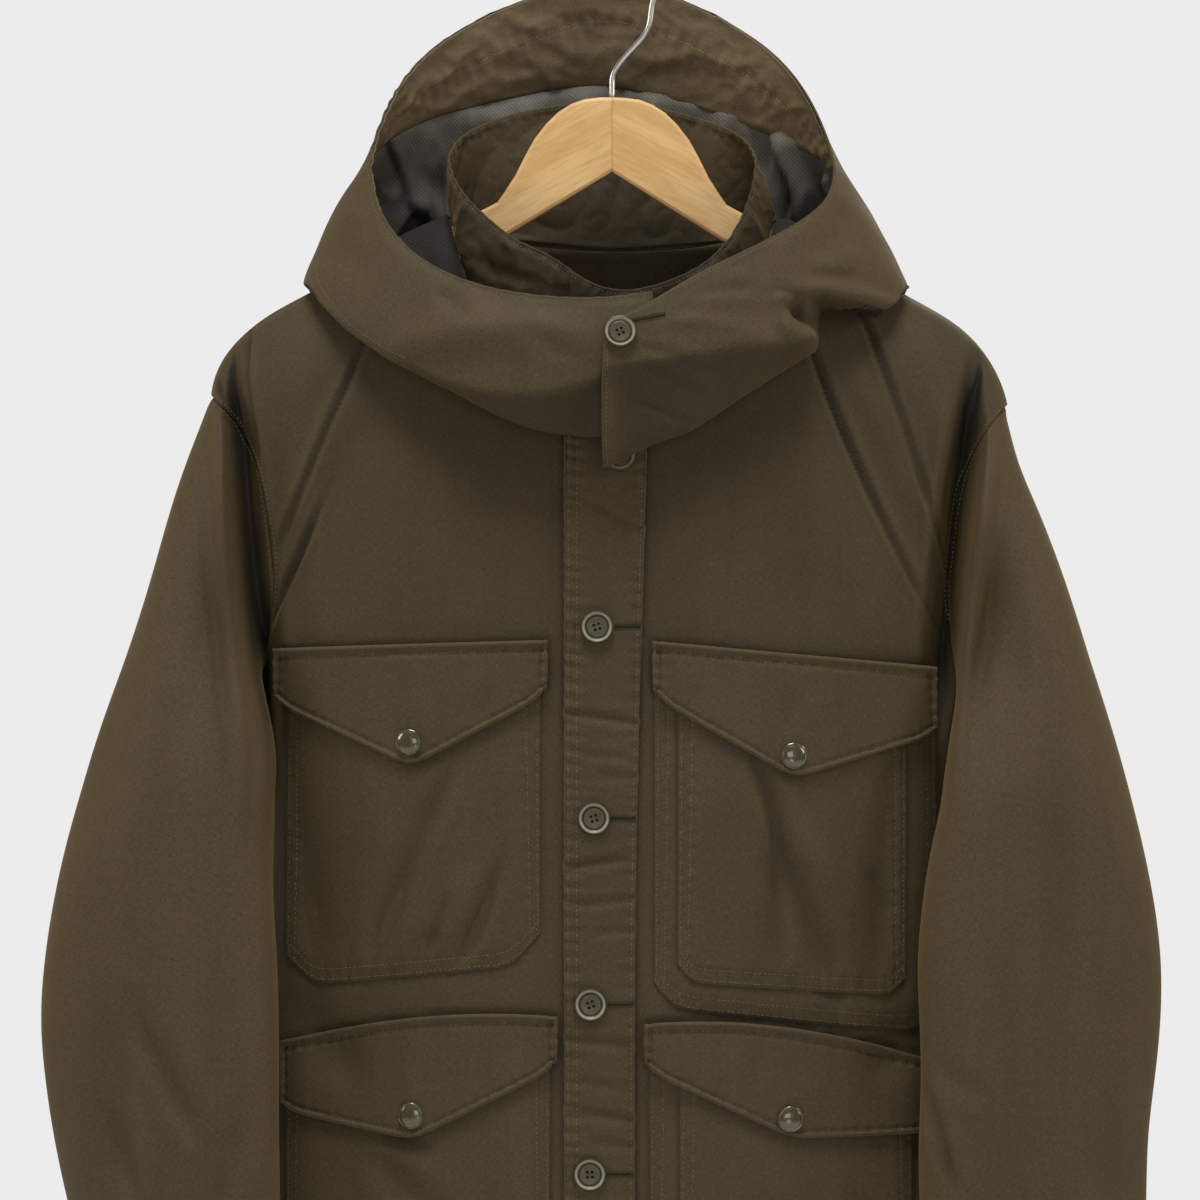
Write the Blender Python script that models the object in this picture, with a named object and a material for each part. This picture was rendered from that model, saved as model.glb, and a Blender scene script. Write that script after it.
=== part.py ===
"""Hooded cruiser jacket hanging on a wooden hanger.

Metres, +Z up. The front faces -Y and the wearer's right side is at -X. The origin is the
inside of the hook, at its top, where a rail carries the hanger. All tables are in millimetres.
"""
import math

import bmesh
import bpy
from mathutils import Matrix, Vector
from mathutils.bvhtree import BVHTree
from mathutils.kdtree import KDTree

MM = 0.001
RIGHT, LEFT = -1, 1          # the wearer's sides, as signs of X
FRONT, BACK = -1, 1          # faces of the body, as signs of Y

SEAM_GAP = 0.3               # between two pieces at a seam
TUBE_TRIM = 0.35             # a sleeve ends this far from the armhole's line
MITRE_LIMIT = 0.75           # cosine between the cloth and its mitre, at the least
BODY_CLOTH = 1.8             # shell and backing of body and sleeves
HOOD_CLOTH = 1.4             # one layer of the hood or the collar
LINING_CLOTH = 1.2
PATCH_CLOTH = 1.2            # pocket patches
FLAP_CLOTH = 1.6
PLACKET_CLOTH = 2.4          # two layers, stitched flat
CLOTH_SMOOTH = 50            # degrees: sharper edges show, softer ones are shaded round
SAME_PLACE = 0.01            # points nearer than this are one

# The body as level sections: height, half width, then the y of side, front and back.
HALF, SIDE_Y, FRONT_Y, BACK_Y = 1, 2, 3, 4
TORSO = (
    (-150, 68.0, 0, -14, 14),
    (-186, 134.5, 0, -31, 36),
    (-213, 184.3, 0, -43, 48),
    (-228, 212.0, 0, -49, 53),
    (-240, 226.0, 0, -53, 57),
    (-254, 237.0, 0, -58, 60),
    (-268, 243.5, 0, -62, 63),
    (-279, 246.0, 0, -65, 65),
    (-300, 247.5, 1, -70, 68),
    (-350, 245.0, 2, -78, 73),
    (-400, 235.0, 4, -82, 76),
    (-450, 222.5, 6, -84, 77),
    (-480, 216.0, 6, -85, 77),
    (-520, 212.5, 6, -86, 78),
    (-580, 213.0, 6, -86, 78),
    (-650, 217.0, 6, -87, 79),
    (-750, 226.0, 6, -88, 80),
    (-860, 232.0, 5, -90, 83),
    (-918, 234.0, 5, -92, 86),
)
SQUARENESS = 2.6             # of every level section
SIDE_CROWDING = 0.85         # how much the columns crowd towards the side seam
SHOULDER_ROWS = 5            # rows below the shoulder seam that bend with it
PANEL_COLUMNS = 9            # on each front and each half of the back

HEM_TO_UNDERARM = (-918, -856, -790, -720, -650, -585, -520, -457)
FRONT_EDGE = 8.0             # the fronts meet here, under the placket
NECK_HALF = 100.0
NECK_HEIGHT = -167.3
NECK_DROP = {FRONT: 128.7, BACK: 18.7}
NECK_CURVE = {FRONT: 1.4, BACK: 1.0} # above 1 the neckline runs flatter over the hanger
NECK_ANGLES = {FRONT: (22.5, 45, 67.5, 88.5, 90), BACK: (45, 86, 90)}
CENTRE_STEPS = {FRONT: 4, BACK: 6}   # rows from the underarm's height up to the neck

# Armhole seam above the underarm: height, then distance out on the front and on the back.
ARMHOLE = (
    (-449, 217, 219),
    (-428, 210, 215),
    (-400, 205, 212),
    (-371, 207.5, 214),
    (-343, 211, 217),
    (-316, 218, 223),
    (-292, 231, 234),
    (-281.5, 243, 243.5),
)
SHOULDER_TIP = -279

# Drag folds that run from the collar to the underarm on the fronts.
# side, top out, top height, lower out, lower height, half width, depth
DRAG_FOLDS = (
    (RIGHT, 152, -246, 208, -383, 15, 5),
    (RIGHT, 186, -360, 208, -415, 12, 4),
    (LEFT, 144, -223, 200, -365, 15, 5),
    (LEFT, 144, -301, 199, -403, 13, 5),
)
DRAG_START = (-0.1, 0.4)     # share of its length where a fold begins, and how fast it deepens
DRAG_STOP = (1.15, 0.3)      # and where it ends, and how fast it runs out
DRAG_AT_SIDE = 3             # how soon a fold is full as the front turns forward from the side

# Sleeve rings below the armhole: outer x and height, inner x and height, for each side,
# then the y of the outer and inner edge and the depth in front of their middle.
SLEEVE_COLUMNS = 18
SLEEVE_BACK_SHARE = 0.7
SLEEVES = {
    RIGHT: (
        (-258, -307, -229, -466),
        (-269, -339, -228, -477),
        (-281, -377, -224, -489),
        (-292, -414, -217, -502),
        (-305, -455, -211, -518),
        (-317, -493, -206, -536),
        (-328, -530, -203, -557),
        (-337, -565, -201, -582),
        (-345, -608, -199, -613),
        (-349, -652, -199, -652),
        (-347, -688, -198, -689),
        (-341, -730, -197, -729),
        (-331, -766, -196, -764),
        (-319, -808, -197, -803),
        (-307, -852, -198, -847),
        (-298, -896, -200, -890),
    ),
    LEFT: (
        (251, -313, 229, -466),
        (262, -339, 228, -477),
        (274, -374, 224, -489),
        (286, -412, 216, -502),
        (299, -455, 207, -518),
        (310, -493, 198, -536),
        (320, -530, 191, -557),
        (328, -562, 186, -581),
        (334, -601, 182, -613),
        (335, -641, 181, -650),
        (331, -684, 181, -688),
        (325, -725, 181, -727),
        (324, -766, 182, -764),
        (322, -808, 184, -803),
        (314, -852, 188, -847),
        (304, -896, 193, -890),
    ),
}
SLEEVE_DEPTHS = (
    (-6, 6, 56),
    (-12, 2, 58),
    (-18, -8, 60),
    (-23, -23, 60),
    (-28, -40, 58),
    (-33, -56, 56),
    (-37, -69, 52),
    (-41, -79, 50),
    (-45, -86, 48),
    (-48, -92, 46),
    (-52, -97, 45),
    (-56, -101, 44),
    (-60, -104, 43),
    (-64, -107, 41),
    (-70, -111, 39),
    (-76, -115, 37),
)
# The front of each sleeve hangs over the side of the body in a soft lobe, given ring by ring.
SLEEVE_LOBES = {
    RIGHT: (8, 15, 18, 16, 10, 4),
    LEFT: (18, 23, 26, 22, 15, 8, 3),
}
LOBE_COLUMN, LOBE_REACH = 7.2, 2.3
LOBE_FORWARD = 0.9
ARMHOLE_FADE = (1.0, 0.6, 0.3, 0.1)  # how far the armhole's own shape reaches down the sleeve

# Rings round the head. The angle runs from the front over the wearer's right side to the back.
# half width, front y, back y, then heights: front, front right, front left, right side, left side,
# back corner, back
HEAD_X = -6.0
HALF_ROUND = (0, 12, 22.5, 34, 45, 56, 67.5, 78, 88.5, 94, 107, 121, 135, 150, 165, 180)
HOOD_RINGS = (
    (140, -92, 70, -300, -244, -240, -186, -179, -206, -202),
    (172, -106, 100, -306, -257, -250, -203, -196, -262, -296),
    (186, -114, 118, -309, -258, -248, -210, -203, -276, -318),
    (183, -118, 133, -296, -243, -232, -198, -191, -258, -298),
    (166, -117, 130, -262, -222, -205, -160, -156, -165, -170),
    (154, -113, 112, -242, -213, -194, -146, -143, -95, -76),
    (144, -106, 97, -223, -203, -183, -133, -133, -47, -16),
)
HOOD_STOPS = (0, 0.4, 1, 2, 2.6, 3, 3.5, 4, 4.5, 5, 6, 6.5, 7)   # rows, counted in rings from the neck
# The columns overlap at the front, where the wearer's left end lies over the right one.
HOOD_ANGLES = (-12, *HALF_ROUND, *(360 - angle for angle in reversed(HALF_ROUND[:-1])))
HOOD_PANEL_SEAMS = (150, 210)        # where the centre panel meets the side panels
HOOD_OVERLAP = 4.2
HOOD_LAP = (312, 30)                 # degrees where the lap starts to stand off, and how fast
THROAT = (54, 30)                    # degrees from the front where the hood clears the collar's lap
CHIN_CORNER = (336, 24)              # degrees where the chin flap's corners begin, and how fast
CHIN_ROWS = 3                        # rings above the fold's edge that the corners take up
FOLD_START, FOLD_END = 2, 6           # rows of the lower fold, counted in rings
HOOD_ROOM = 9.0                      # between the hood and the body it rests on
CHIN_DROP = 14.0                     # the chin flap's lower corner hangs below the fold
CHIN_ROUND = 0.95                    # its upper corner is cut round, in rings
CHIN_CURVE = 1.5                     # how suddenly that corner turns
CHIN_RING = 3                        # the ring that hangs lowest at the chin
FACING_ROWS = (10, 12)                # the facing lies inside these rows, the lining below
LINING_ROWS = (7, 10)
LINING_ANGLES = (34, 326)            # it shows at the sides and the back

COLLAR_TOP = (95.5, -80, 58, -218, -174, -194, -131, -131, -101, -87)
COLLAR_ANGLES = (*HOOD_ANGLES, 372)
COLLAR_OVERLAP = 2.4
COLLAR_LAP = (318, 30)               # degrees where the lap starts to stand off, and how fast
COLLAR_ROWS = 4
NECK_LIFT = 2.6                      # collar above the body's neck edge
HOOD_NECK_OUT = 1.8                  # hood outside the collar's lower edge

PLACKET_EDGE = -29.0
PLACKET_SEAM = ((-298, 21.0), (-640, 13.5), (-918, 13.5))
PLACKET_ROWS = (-300, -335, -375, -415, -457, -520, -585, -650, -720, -790, -856, -917)
PLACKET_LIFT = 0.6

# Pocket patches: inner and outer edge, top and bottom height at each, corner cut, lift.
SIDE_LIFT = 0.8
SIDE_TURN = (140, 50)                # distance out where the lift begins, and how fast
POCKETS = {
    "chest_pocket_right": (-43, -197, -436, -441, -621, -638, 18, 1.0),
    "chest_pocket_left": (25, 196, -436, -449, -647, -666, 14, 1.0),
    "chest_patch_left": (39, 176, -462, -474, -632, -642, 10, 3.3),
    "lower_pocket_right": (-37, -197, -662, -678, -873, -873, 18, 1.0),
    "lower_pocket_left": (22, 197, -664, -690, -873, -873, 14, 1.0),
    "lower_patch_left": (40, 180, -684, -706, -857, -857, 10, 3.3),
}
POCKET_SWELL = 3.0
POCKET_COLUMNS, POCKET_ROWS = 6, 5

# Flaps: pocket, inner and outer edge, top height at inner, middle and outer,
# drop of the two ends, then the point's place and height, and the lift.
FLAPS = {
    "chest_flap_right": ("chest_pocket_right", -38.5, -203, -427, -430, -433, 29, 29, -119.6, -504, 3.6),
    "chest_flap_left": ("chest_pocket_left", 23.8, 193, -427, -434, -440.5, 30, 38, 107.8, -509.5, 5.9),
    "lower_flap_right": ("lower_pocket_right", -32.6, -198, -652, -653, -671, 27, 37, -118.4, -726.7, 3.5),
    "lower_flap_left": ("lower_pocket_left", 18.6, 197, -656, -659, -684, 24, 37, 106.6, -725.5, 5.8),
}
FLAP_ROWS = 3
FLAP_HALF_COLUMNS = 4
FLAP_CROWDING = 1.5          # the columns crowd towards the two ends
FLAP_CORNER = 4.0            # cut off where an end meets the lower edge
SNAP_PLACES = {
    "chest_flap_right": (-120.8, -489),
    "chest_flap_left": (107.2, -495.5),
    "lower_flap_right": (-119.6, -712),
    "lower_flap_left": (105.4, -713.5),
}

# Buttons and snaps are turned from profiles of radius and height.
BUTTON_PROFILE = ((0, 0), (8.8, 0), (10.2, 1.3), (9.5, 2.9), (7.5, 1.9), (0, 1.6))
BUTTON_HOLES = 4
BUTTON_HOLE_SIDES = 6
BUTTON_DRILL = 8.0           # length of the cutter
BUTTON_HOLE = 0.9
BUTTON_HOLE_PITCH = 1.75
BUTTON_PLACES = ((4.5, -316), (-9.2, -419), (-11, -533.5), (-13, -645), (-13.5, -746.5), (-14, -850))
CHIN_BUTTON = (4.5, -244)
SMALL_SEAT = 0.5                     # below a button or a snap
SNAP_PROFILE = ((0, 0), (7.35, 0), (7.75, 0.6), (7.25, 1.5), (4.805, 2.3), (0, 2.7))
ROUND_SIDES = 16             # of a turned button or snap
ROUND_SMOOTH = 40            # degrees

# Hanger board: its top edge from the middle out, then the round end and the lower edge.
HANGER_THICKNESS = 12.0
HANGER_TOP = ((0, -91.7), (17, -93), (33, -101), (48, -118), (60, -141), (71, -157.5), (204, -227))
HANGER_BOTTOM = ((210, -233), (212, -241), (210, -248), (204, -252), (66, -178.5), (0, -138))
HANGER_EDGE = 2.0
HANGER_SMOOTH = 40           # degrees
HOOK_WIRE = 2.0
HOOK_RADIUS = 26.6
HOOK_STEM = ((0, -91.4), (0, -84), (1, -76), (9, -65), (20, -53), (26, -41))
HOOK_ARC = (-24, 196)                # degrees, from the stem over the top to the open end
HOOK_STEPS, HOOK_SIDES = 18, 10

LEAN = 0.011                         # the whole garment hangs a little lower on the left
LEAN_FADES = (-300, -750)


# ---------------------------------------------------------------- reading tables and curves

def lookup(rows, at, column):
    """Smooth reading of a column between rows that are sorted by height, highest first."""
    keys = [row[0] for row in rows]
    values = [row[column] for row in rows]
    last = len(rows) - 2
    step = 0
    while step < last and at < keys[step + 1]:
        step += 1
    secants = [(values[i + 1] - values[i]) / (keys[i + 1] - keys[i]) for i in range(last + 1)]
    before = secants[max(step - 1, 0)]
    here = secants[step]
    after = secants[min(step + 1, last)]
    slope_0 = (before + here) / 2 if before * here > 0 else 0
    slope_1 = (here + after) / 2 if here * after > 0 else 0
    span = keys[step + 1] - keys[step]
    t = min(max((at - keys[step]) / span, 0), 1)
    return (values[step] * (1 + 2 * t) * (1 - t) ** 2 + slope_0 * span * t * (1 - t) ** 2
            + values[step + 1] * t * t * (3 - 2 * t) + slope_1 * span * t * t * (t - 1))


def curve_through(points, t):
    """Catmull-Rom curve through evenly numbered points; t runs from 0 to the last number."""
    i = min(int(t), len(points) - 2)
    f = t - i
    a = points[max(i - 1, 0)]
    b = points[i]
    c = points[i + 1]
    d = points[min(i + 2, len(points) - 1)]
    return ((b * 2) + (c - a) * f + (a * 2 - b * 5 + c * 4 - d) * f ** 2
            + (b * 3 - a - c * 3 + d) * f ** 3) * 0.5


def mix(a, b, t):
    return a + (b - a) * t


def smooth(t):
    t = min(max(t, 0), 1)
    return t * t * (3 - 2 * t)


def rise(at, ramp):
    """From 0 to 1 along a ramp given as (start, length)."""
    start, length = ramp
    return smooth((at - start) / length)


def fall(at, ramp):
    """From 1 to 0 before a place given as (place, length)."""
    place, length = ramp
    return smooth((place - at) / length)


# ---------------------------------------------------------------- meshes and materials

def material(name, colour, roughness, metallic=0.0):
    made = bpy.data.materials.new(name)
    made.use_nodes = True
    shader = made.node_tree.nodes["Principled BSDF"]
    shader.inputs["Base Color"].default_value = (*colour, 1)
    shader.inputs["Roughness"].default_value = roughness
    shader.inputs["Metallic"].default_value = metallic
    return made


def hang(point):
    """The small lean that the garment and the hanger share, fading out towards the hem."""
    top, bottom = LEAN_FADES
    share = smooth((point.z - bottom) / (top - bottom))
    return Vector((point.x, point.y, point.z - LEAN * share * point.x))


def finish(name, bm, finish_material, smooth_angle=None):
    """Turn a bmesh in millimetres into a named object in metres."""
    for vert in bm.verts:
        vert.co = hang(vert.co) * MM
    bmesh.ops.recalc_face_normals(bm, faces=bm.faces)
    mesh = bpy.data.meshes.new(name)
    bm.to_mesh(mesh)
    bm.free()
    mesh.materials.append(finish_material)
    if smooth_angle is not None:
        mesh.shade_smooth()
        mesh.set_sharp_from_angle(angle=smooth_angle)
    made = bpy.data.objects.new(name, mesh)
    bpy.context.collection.objects.link(made)
    return made


def sheet_mesh(grid):
    """A bmesh grid whose rows and columns lie on the given points."""
    rows, columns = len(grid), len(grid[0])
    bm = bmesh.new()
    bmesh.ops.create_grid(bm, x_segments=columns - 1, y_segments=rows - 1, size=1)
    bm.verts.ensure_lookup_table()
    for number, vert in enumerate(bm.verts):
        vert.co = grid[number // columns][number % columns]
    return bm


def surface_normals(grids, outward):
    """Normals of several grids as one joined surface, facing along `outward` where it is furthest.

    Panels that meet at a seam read the same normal there, so their walls end on one mitre.
    """
    joined = bmesh.new()
    for grid in grids:
        part = sheet_mesh(grid)
        mesh = bpy.data.meshes.new("joined")
        part.to_mesh(mesh)
        part.free()
        joined.from_mesh(mesh)
        bpy.data.meshes.remove(mesh)
    bmesh.ops.remove_doubles(joined, verts=joined.verts, dist=2 * SAME_PLACE)
    bmesh.ops.recalc_face_normals(joined, faces=joined.faces)
    joined.normal_update()
    furthest = max(joined.verts, key=lambda vert: vert.co.dot(outward))
    sign = 1 if furthest.normal.dot(outward) > 0 else -1
    tree = KDTree(len(joined.verts))
    joined.verts.ensure_lookup_table()
    for number, vert in enumerate(joined.verts):
        tree.insert(vert.co, number)
    tree.balance()
    found = [[[joined.verts[tree.find(p)[1]].normal * sign for p in row] for row in grid] for grid in grids]
    joined.free()
    return found


def mitred(joined, alone):
    """Directions through the cloth: shared with the neighbour, but square in a tight inner corner."""
    return [[shared if shared.dot(own) > MITRE_LIMIT else own for shared, own in zip(*rows)]
            for rows in zip(joined, alone)]


def moved(grid, normals, distance):
    return [[p + n * distance for p, n in zip(row, row_normals)] for row, row_normals in zip(grid, normals)]


def trimmed(grid, normals, closed, joined_rows):
    """Draw each border of a grid back by its share of a seam gap, square to the seam.

    The first `joined_rows` rows of the first column are no border: the cloth goes on there.
    """
    rows, columns = len(grid), len(grid[0])
    share = TUBE_TRIM if closed else SEAM_GAP / 2
    result = [list(row) for row in grid]
    borders = [(r, c, 1 if r == 0 else -1, 0) for r in (0, rows - 1) for c in range(columns)]
    if not closed:
        borders += [(r, 0, 0, 1) for r in range(joined_rows, rows)]
        borders += [(r, columns - 1, 0, -1) for r in range(rows)]
    for r, c, step_r, step_c in borders:
        if step_r:
            low, high = (max(c - 1, 0), min(c + 1, columns - 1))
            if closed:
                low, high = ((c - 1) % (columns - 1), (c + 1) % (columns - 1))
            along = grid[r][high] - grid[r][low]
        else:
            along = grid[min(r + 1, rows - 1)][c] - grid[max(r - 1, 0)][c]
        inward = normals[r][c].cross(along).normalized()
        if inward.dot(grid[r + step_r][c + step_c] - grid[r][c]) < 0:
            inward = -inward
        result[r][c] = result[r][c] + inward * share
    return result


def wall(name, grids, normals, cloth, finish_material, closed=False, joined_rows=0):
    """A piece of cloth: the grids are its outer face, and its inner face lies one thickness behind."""
    bm = bmesh.new()
    behind = bm.verts.layers.float_vector.new("behind")
    for grid, directions in zip(grids, normals):
        rows, columns = len(grid), len(grid[0])
        edge = trimmed(grid, directions, closed, joined_rows)
        verts = bmesh.ops.create_grid(bm, x_segments=columns - 1, y_segments=rows - 1, size=1)["verts"]
        for number, vert in enumerate(verts):
            vert.co = edge[number // columns][number % columns]
            vert[behind] = directions[number // columns][number % columns] * -cloth
    bmesh.ops.remove_doubles(bm, verts=bm.verts, dist=SAME_PLACE)
    grown = bmesh.ops.extrude_face_region(bm, geom=list(bm.faces), use_keep_orig=True)
    for item in grown["geom"]:
        if isinstance(item, bmesh.types.BMVert):
            item.co += item[behind]
    return finish(name, bm, finish_material, math.radians(CLOTH_SMOOTH))


def turned(profile):
    """A bmesh turned round Z from a profile of (radius, height) that starts and ends on the axis."""
    bm = bmesh.new()
    verts = [bm.verts.new((radius, 0, height)) for radius, height in profile]
    edges = [bm.edges.new(pair) for pair in zip(verts, verts[1:])]
    bmesh.ops.spin(bm, geom=verts + edges, axis=(0, 0, 1), cent=(0, 0, 0), angle=math.tau,
                   steps=ROUND_SIDES, use_merge=True)
    bmesh.ops.remove_doubles(bm, verts=bm.verts, dist=SAME_PLACE)
    return bm


# ---------------------------------------------------------------- the body's surface

def half_width(z):
    return lookup(TORSO, z, HALF)


def shoulder_height(out):
    """Height at which the outline is as wide as `out`, between the neck and the shoulder tip."""
    low, high = SHOULDER_TIP, TORSO[0][0]
    while high - low > SAME_PLACE ** 3:
        middle = (low + high) / 2
        if half_width(middle) > out:
            low, high = middle, high
        else:
            low, high = low, middle
    return (low + high) / 2


def drag(x, z):
    """Depth of the drag folds at a place on the front."""
    depth = 0
    for side, top_out, top, low_out, low, width, deepest in DRAG_FOLDS:
        start = Vector((side * top_out, top))
        run = Vector((side * low_out, low)) - start
        here = Vector((x, z)) - start
        along = here.dot(run) / run.length_squared
        across = (here - run * along).length
        ends = rise(along, DRAG_START) * fall(along, DRAG_STOP)
        depth += deepest * ends * math.exp(-(across / width) ** 2)
    return depth


def body_point(x, z, face):
    side = lookup(TORSO, z, SIDE_Y)
    reach = lookup(TORSO, z, FRONT_Y if face == FRONT else BACK_Y)
    share = max(0, 1 - (abs(x) / half_width(z)) ** SQUARENESS)
    y = side + (reach - side) * share ** (1 / SQUARENESS)
    if face == FRONT:
        y += drag(x, z) * smooth(share * DRAG_AT_SIDE)
    return Vector((x, y, z))


def body_normal(x, z, face):
    step = 3.0
    across = body_point(x + step, z, face) - body_point(x - step, z, face)
    up = body_point(x, z + step, face) - body_point(x, z - step, face)
    normal = across.cross(up).normalized()
    return normal if normal.y * face > 0 else -normal


def neck_edge(face, angle):
    """Distance out and height of the neck seam; 0 degrees is the middle and 90 the shoulder seam."""
    turn = math.radians(angle)
    drop = NECK_DROP[face] * abs(math.cos(turn)) ** NECK_CURVE[face]
    return NECK_HALF * math.sin(turn), NECK_HEIGHT - drop


def panel_grid(face, side, start):
    """Rows from the hem to the shoulder seam, each from the panel's centre edge out to its side."""
    start_angle = math.degrees(math.asin(start / NECK_HALF))
    neck_start = neck_edge(face, start_angle)
    underarm = HEM_TO_UNDERARM[-1]
    centre = [(start, z) for z in HEM_TO_UNDERARM]
    steps = CENTRE_STEPS[face]
    centre += [(start, mix(underarm, neck_start[1], (i + 1) / steps)) for i in range(steps)]
    centre += [neck_edge(face, max(angle, start_angle)) for angle in NECK_ANGLES[face]]
    edge = [(half_width(z), z) for z in HEM_TO_UNDERARM]
    edge += [(row[1 if face == FRONT else 2], row[0]) for row in ARMHOLE]
    edge += [(half_width(SHOULDER_TIP), SHOULDER_TIP)]
    grid = []
    for number, (inner, outer) in enumerate(zip(centre, edge)):
        from_top = len(edge) - 1 - number
        curve_share = max(0, 1 - from_top / SHOULDER_ROWS) ** 2 if from_top > 1 else 1
        row = []
        for column in range(PANEL_COLUMNS + 1):
            f = math.sin(column / PANEL_COLUMNS * math.pi / 2) ** SIDE_CROWDING
            out = mix(inner[0], outer[0], f)
            z = mix(inner[1], outer[1], f)
            top_out = mix(NECK_HALF, half_width(SHOULDER_TIP), f)
            z += (shoulder_height(top_out) - mix(NECK_HEIGHT, SHOULDER_TIP, f)) * curve_share
            if from_top == 0:
                row.append(Vector((side * out, lookup(TORSO, z, SIDE_Y), z)))
            else:
                row.append(body_point(side * out, z, face))
        grid.append(row)
    return grid


def armhole_ring(side):
    """The armhole seam as a closed ring: shoulder tip, front, underarm, back, shoulder tip."""
    underarm = HEM_TO_UNDERARM[-1]
    tip = body_point(side * half_width(SHOULDER_TIP), SHOULDER_TIP, FRONT)
    low = body_point(side * half_width(underarm), underarm, FRONT)
    front = [body_point(side * row[1], row[0], FRONT) for row in reversed(ARMHOLE)]
    back = [body_point(side * row[2], row[0], BACK) for row in ARMHOLE]
    return [tip] + front + [low] + back + [tip]


def sleeve_grid(side):
    ring = armhole_ring(side)
    tip, low = ring[0], ring[SLEEVE_COLUMNS // 2]

    def oval(outer, inner, depth, column):
        turn = math.tau * column / SLEEVE_COLUMNS
        middle = (outer + inner) / 2
        reach = depth * (1 if turn < math.pi else SLEEVE_BACK_SHARE)
        return middle + (outer - inner) / 2 * math.cos(turn) - Vector((0, reach, 0)) * math.sin(turn)

    grid = [ring]
    for number, (row, (outer_y, inner_y, depth)) in enumerate(zip(SLEEVES[side], SLEEVE_DEPTHS), 1):
        outer = Vector((row[0], outer_y, row[1]))
        inner = Vector((row[2], inner_y, row[3]))
        fade = ARMHOLE_FADE[number] if number < len(ARMHOLE_FADE) else 0
        lobes = SLEEVE_LOBES[side]
        size = lobes[number - 1] if number <= len(lobes) else 0
        points = []
        for column in range(SLEEVE_COLUMNS + 1):
            shape = ring[column] - oval(tip, low, SLEEVE_DEPTHS[0][2], column)
            away = min(abs(column - LOBE_COLUMN) / LOBE_REACH, 1)
            lobe = Vector((-side, -LOBE_FORWARD, 0)) * size * math.cos(math.pi / 2 * away) ** 2
            points.append(oval(outer, inner, depth, column) + shape * fade + lobe)
        points[-1] = points[0].copy()
        grid.append(points)
    return grid


# ---------------------------------------------------------------- rings round the head

def station_height(row, angle):
    """Height of a head ring at an angle, from its six stations."""
    front, front_right, front_left, side_right, side_left, corner, back = row[3:]
    turn = angle % 360
    on_left = turn > 180
    turn = 360 - turn if on_left else turn
    near = front_left if on_left else front_right
    side = side_left if on_left else side_right
    stations = [near, front, near, side, corner, back, corner]
    i = min(int(turn / 45), 3)
    f = turn / 45 - i
    a, b, c, d = stations[i:i + 4]
    return ((b * 2) + (c - a) * f + (a * 2 - b * 5 + c * 4 - d) * f ** 2
            + (b * 3 - a - c * 3 + d) * f ** 3) / 2


def head_point(row, angle):
    half, front_y, back_y = row[:3]
    turn = math.radians(angle)
    x = HEAD_X - half * math.sin(turn)
    y = (front_y + back_y) / 2 + (front_y - back_y) / 2 * math.cos(turn)
    return Vector((x, y, station_height(row, angle)))


def neck_point(angle):
    """A place on the body's neck seam, on the straight runs between the panels' own corners."""
    turn = angle % 360
    side = RIGHT if turn <= 180 else LEFT
    turn = min(turn, 360 - turn)
    face = FRONT if turn <= 90 else BACK
    at = turn if face == FRONT else 180 - turn
    first = math.degrees(math.asin(FRONT_EDGE / NECK_HALF)) if face == FRONT else 0
    stops = (-first, first, *NECK_ANGLES[face])
    step = max(i for i in range(len(stops) - 1) if stops[i] <= at)
    ends = [neck_edge(face, stop) for stop in stops[step:step + 2]]
    low, high = [body_point(side * out, z, face) for out, z in ends]
    return mix(low, high, (at - stops[step]) / (stops[step + 1] - stops[step]))


def clearing(point, room):
    """How far a place of the hood must rise to lie clear of the body below it."""
    z = point.z
    while z < TORSO[0][0]:
        half = half_width(z) + room
        middle = lookup(TORSO, z, SIDE_Y)
        reach = abs(lookup(TORSO, z, FRONT_Y if point.y < middle else BACK_Y) - middle) + room
        if abs(point.x / half) ** SQUARENESS + abs((point.y - middle) / reach) ** SQUARENESS >= 1:
            break
        z += 1
    return z - point.z


def collar_grid():
    grid = []
    for row in range(COLLAR_ROWS + 1):
        t = row / COLLAR_ROWS
        points = []
        for angle in COLLAR_ANGLES:
            low = neck_point(angle) + Vector((0, 0, NECK_LIFT))
            high = head_point(COLLAR_TOP, angle)
            point = mix(low, high, t)
            point.y -= COLLAR_OVERLAP * rise(angle, COLLAR_LAP)
            points.append(point)
        grid.append(points)
    return grid


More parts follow.
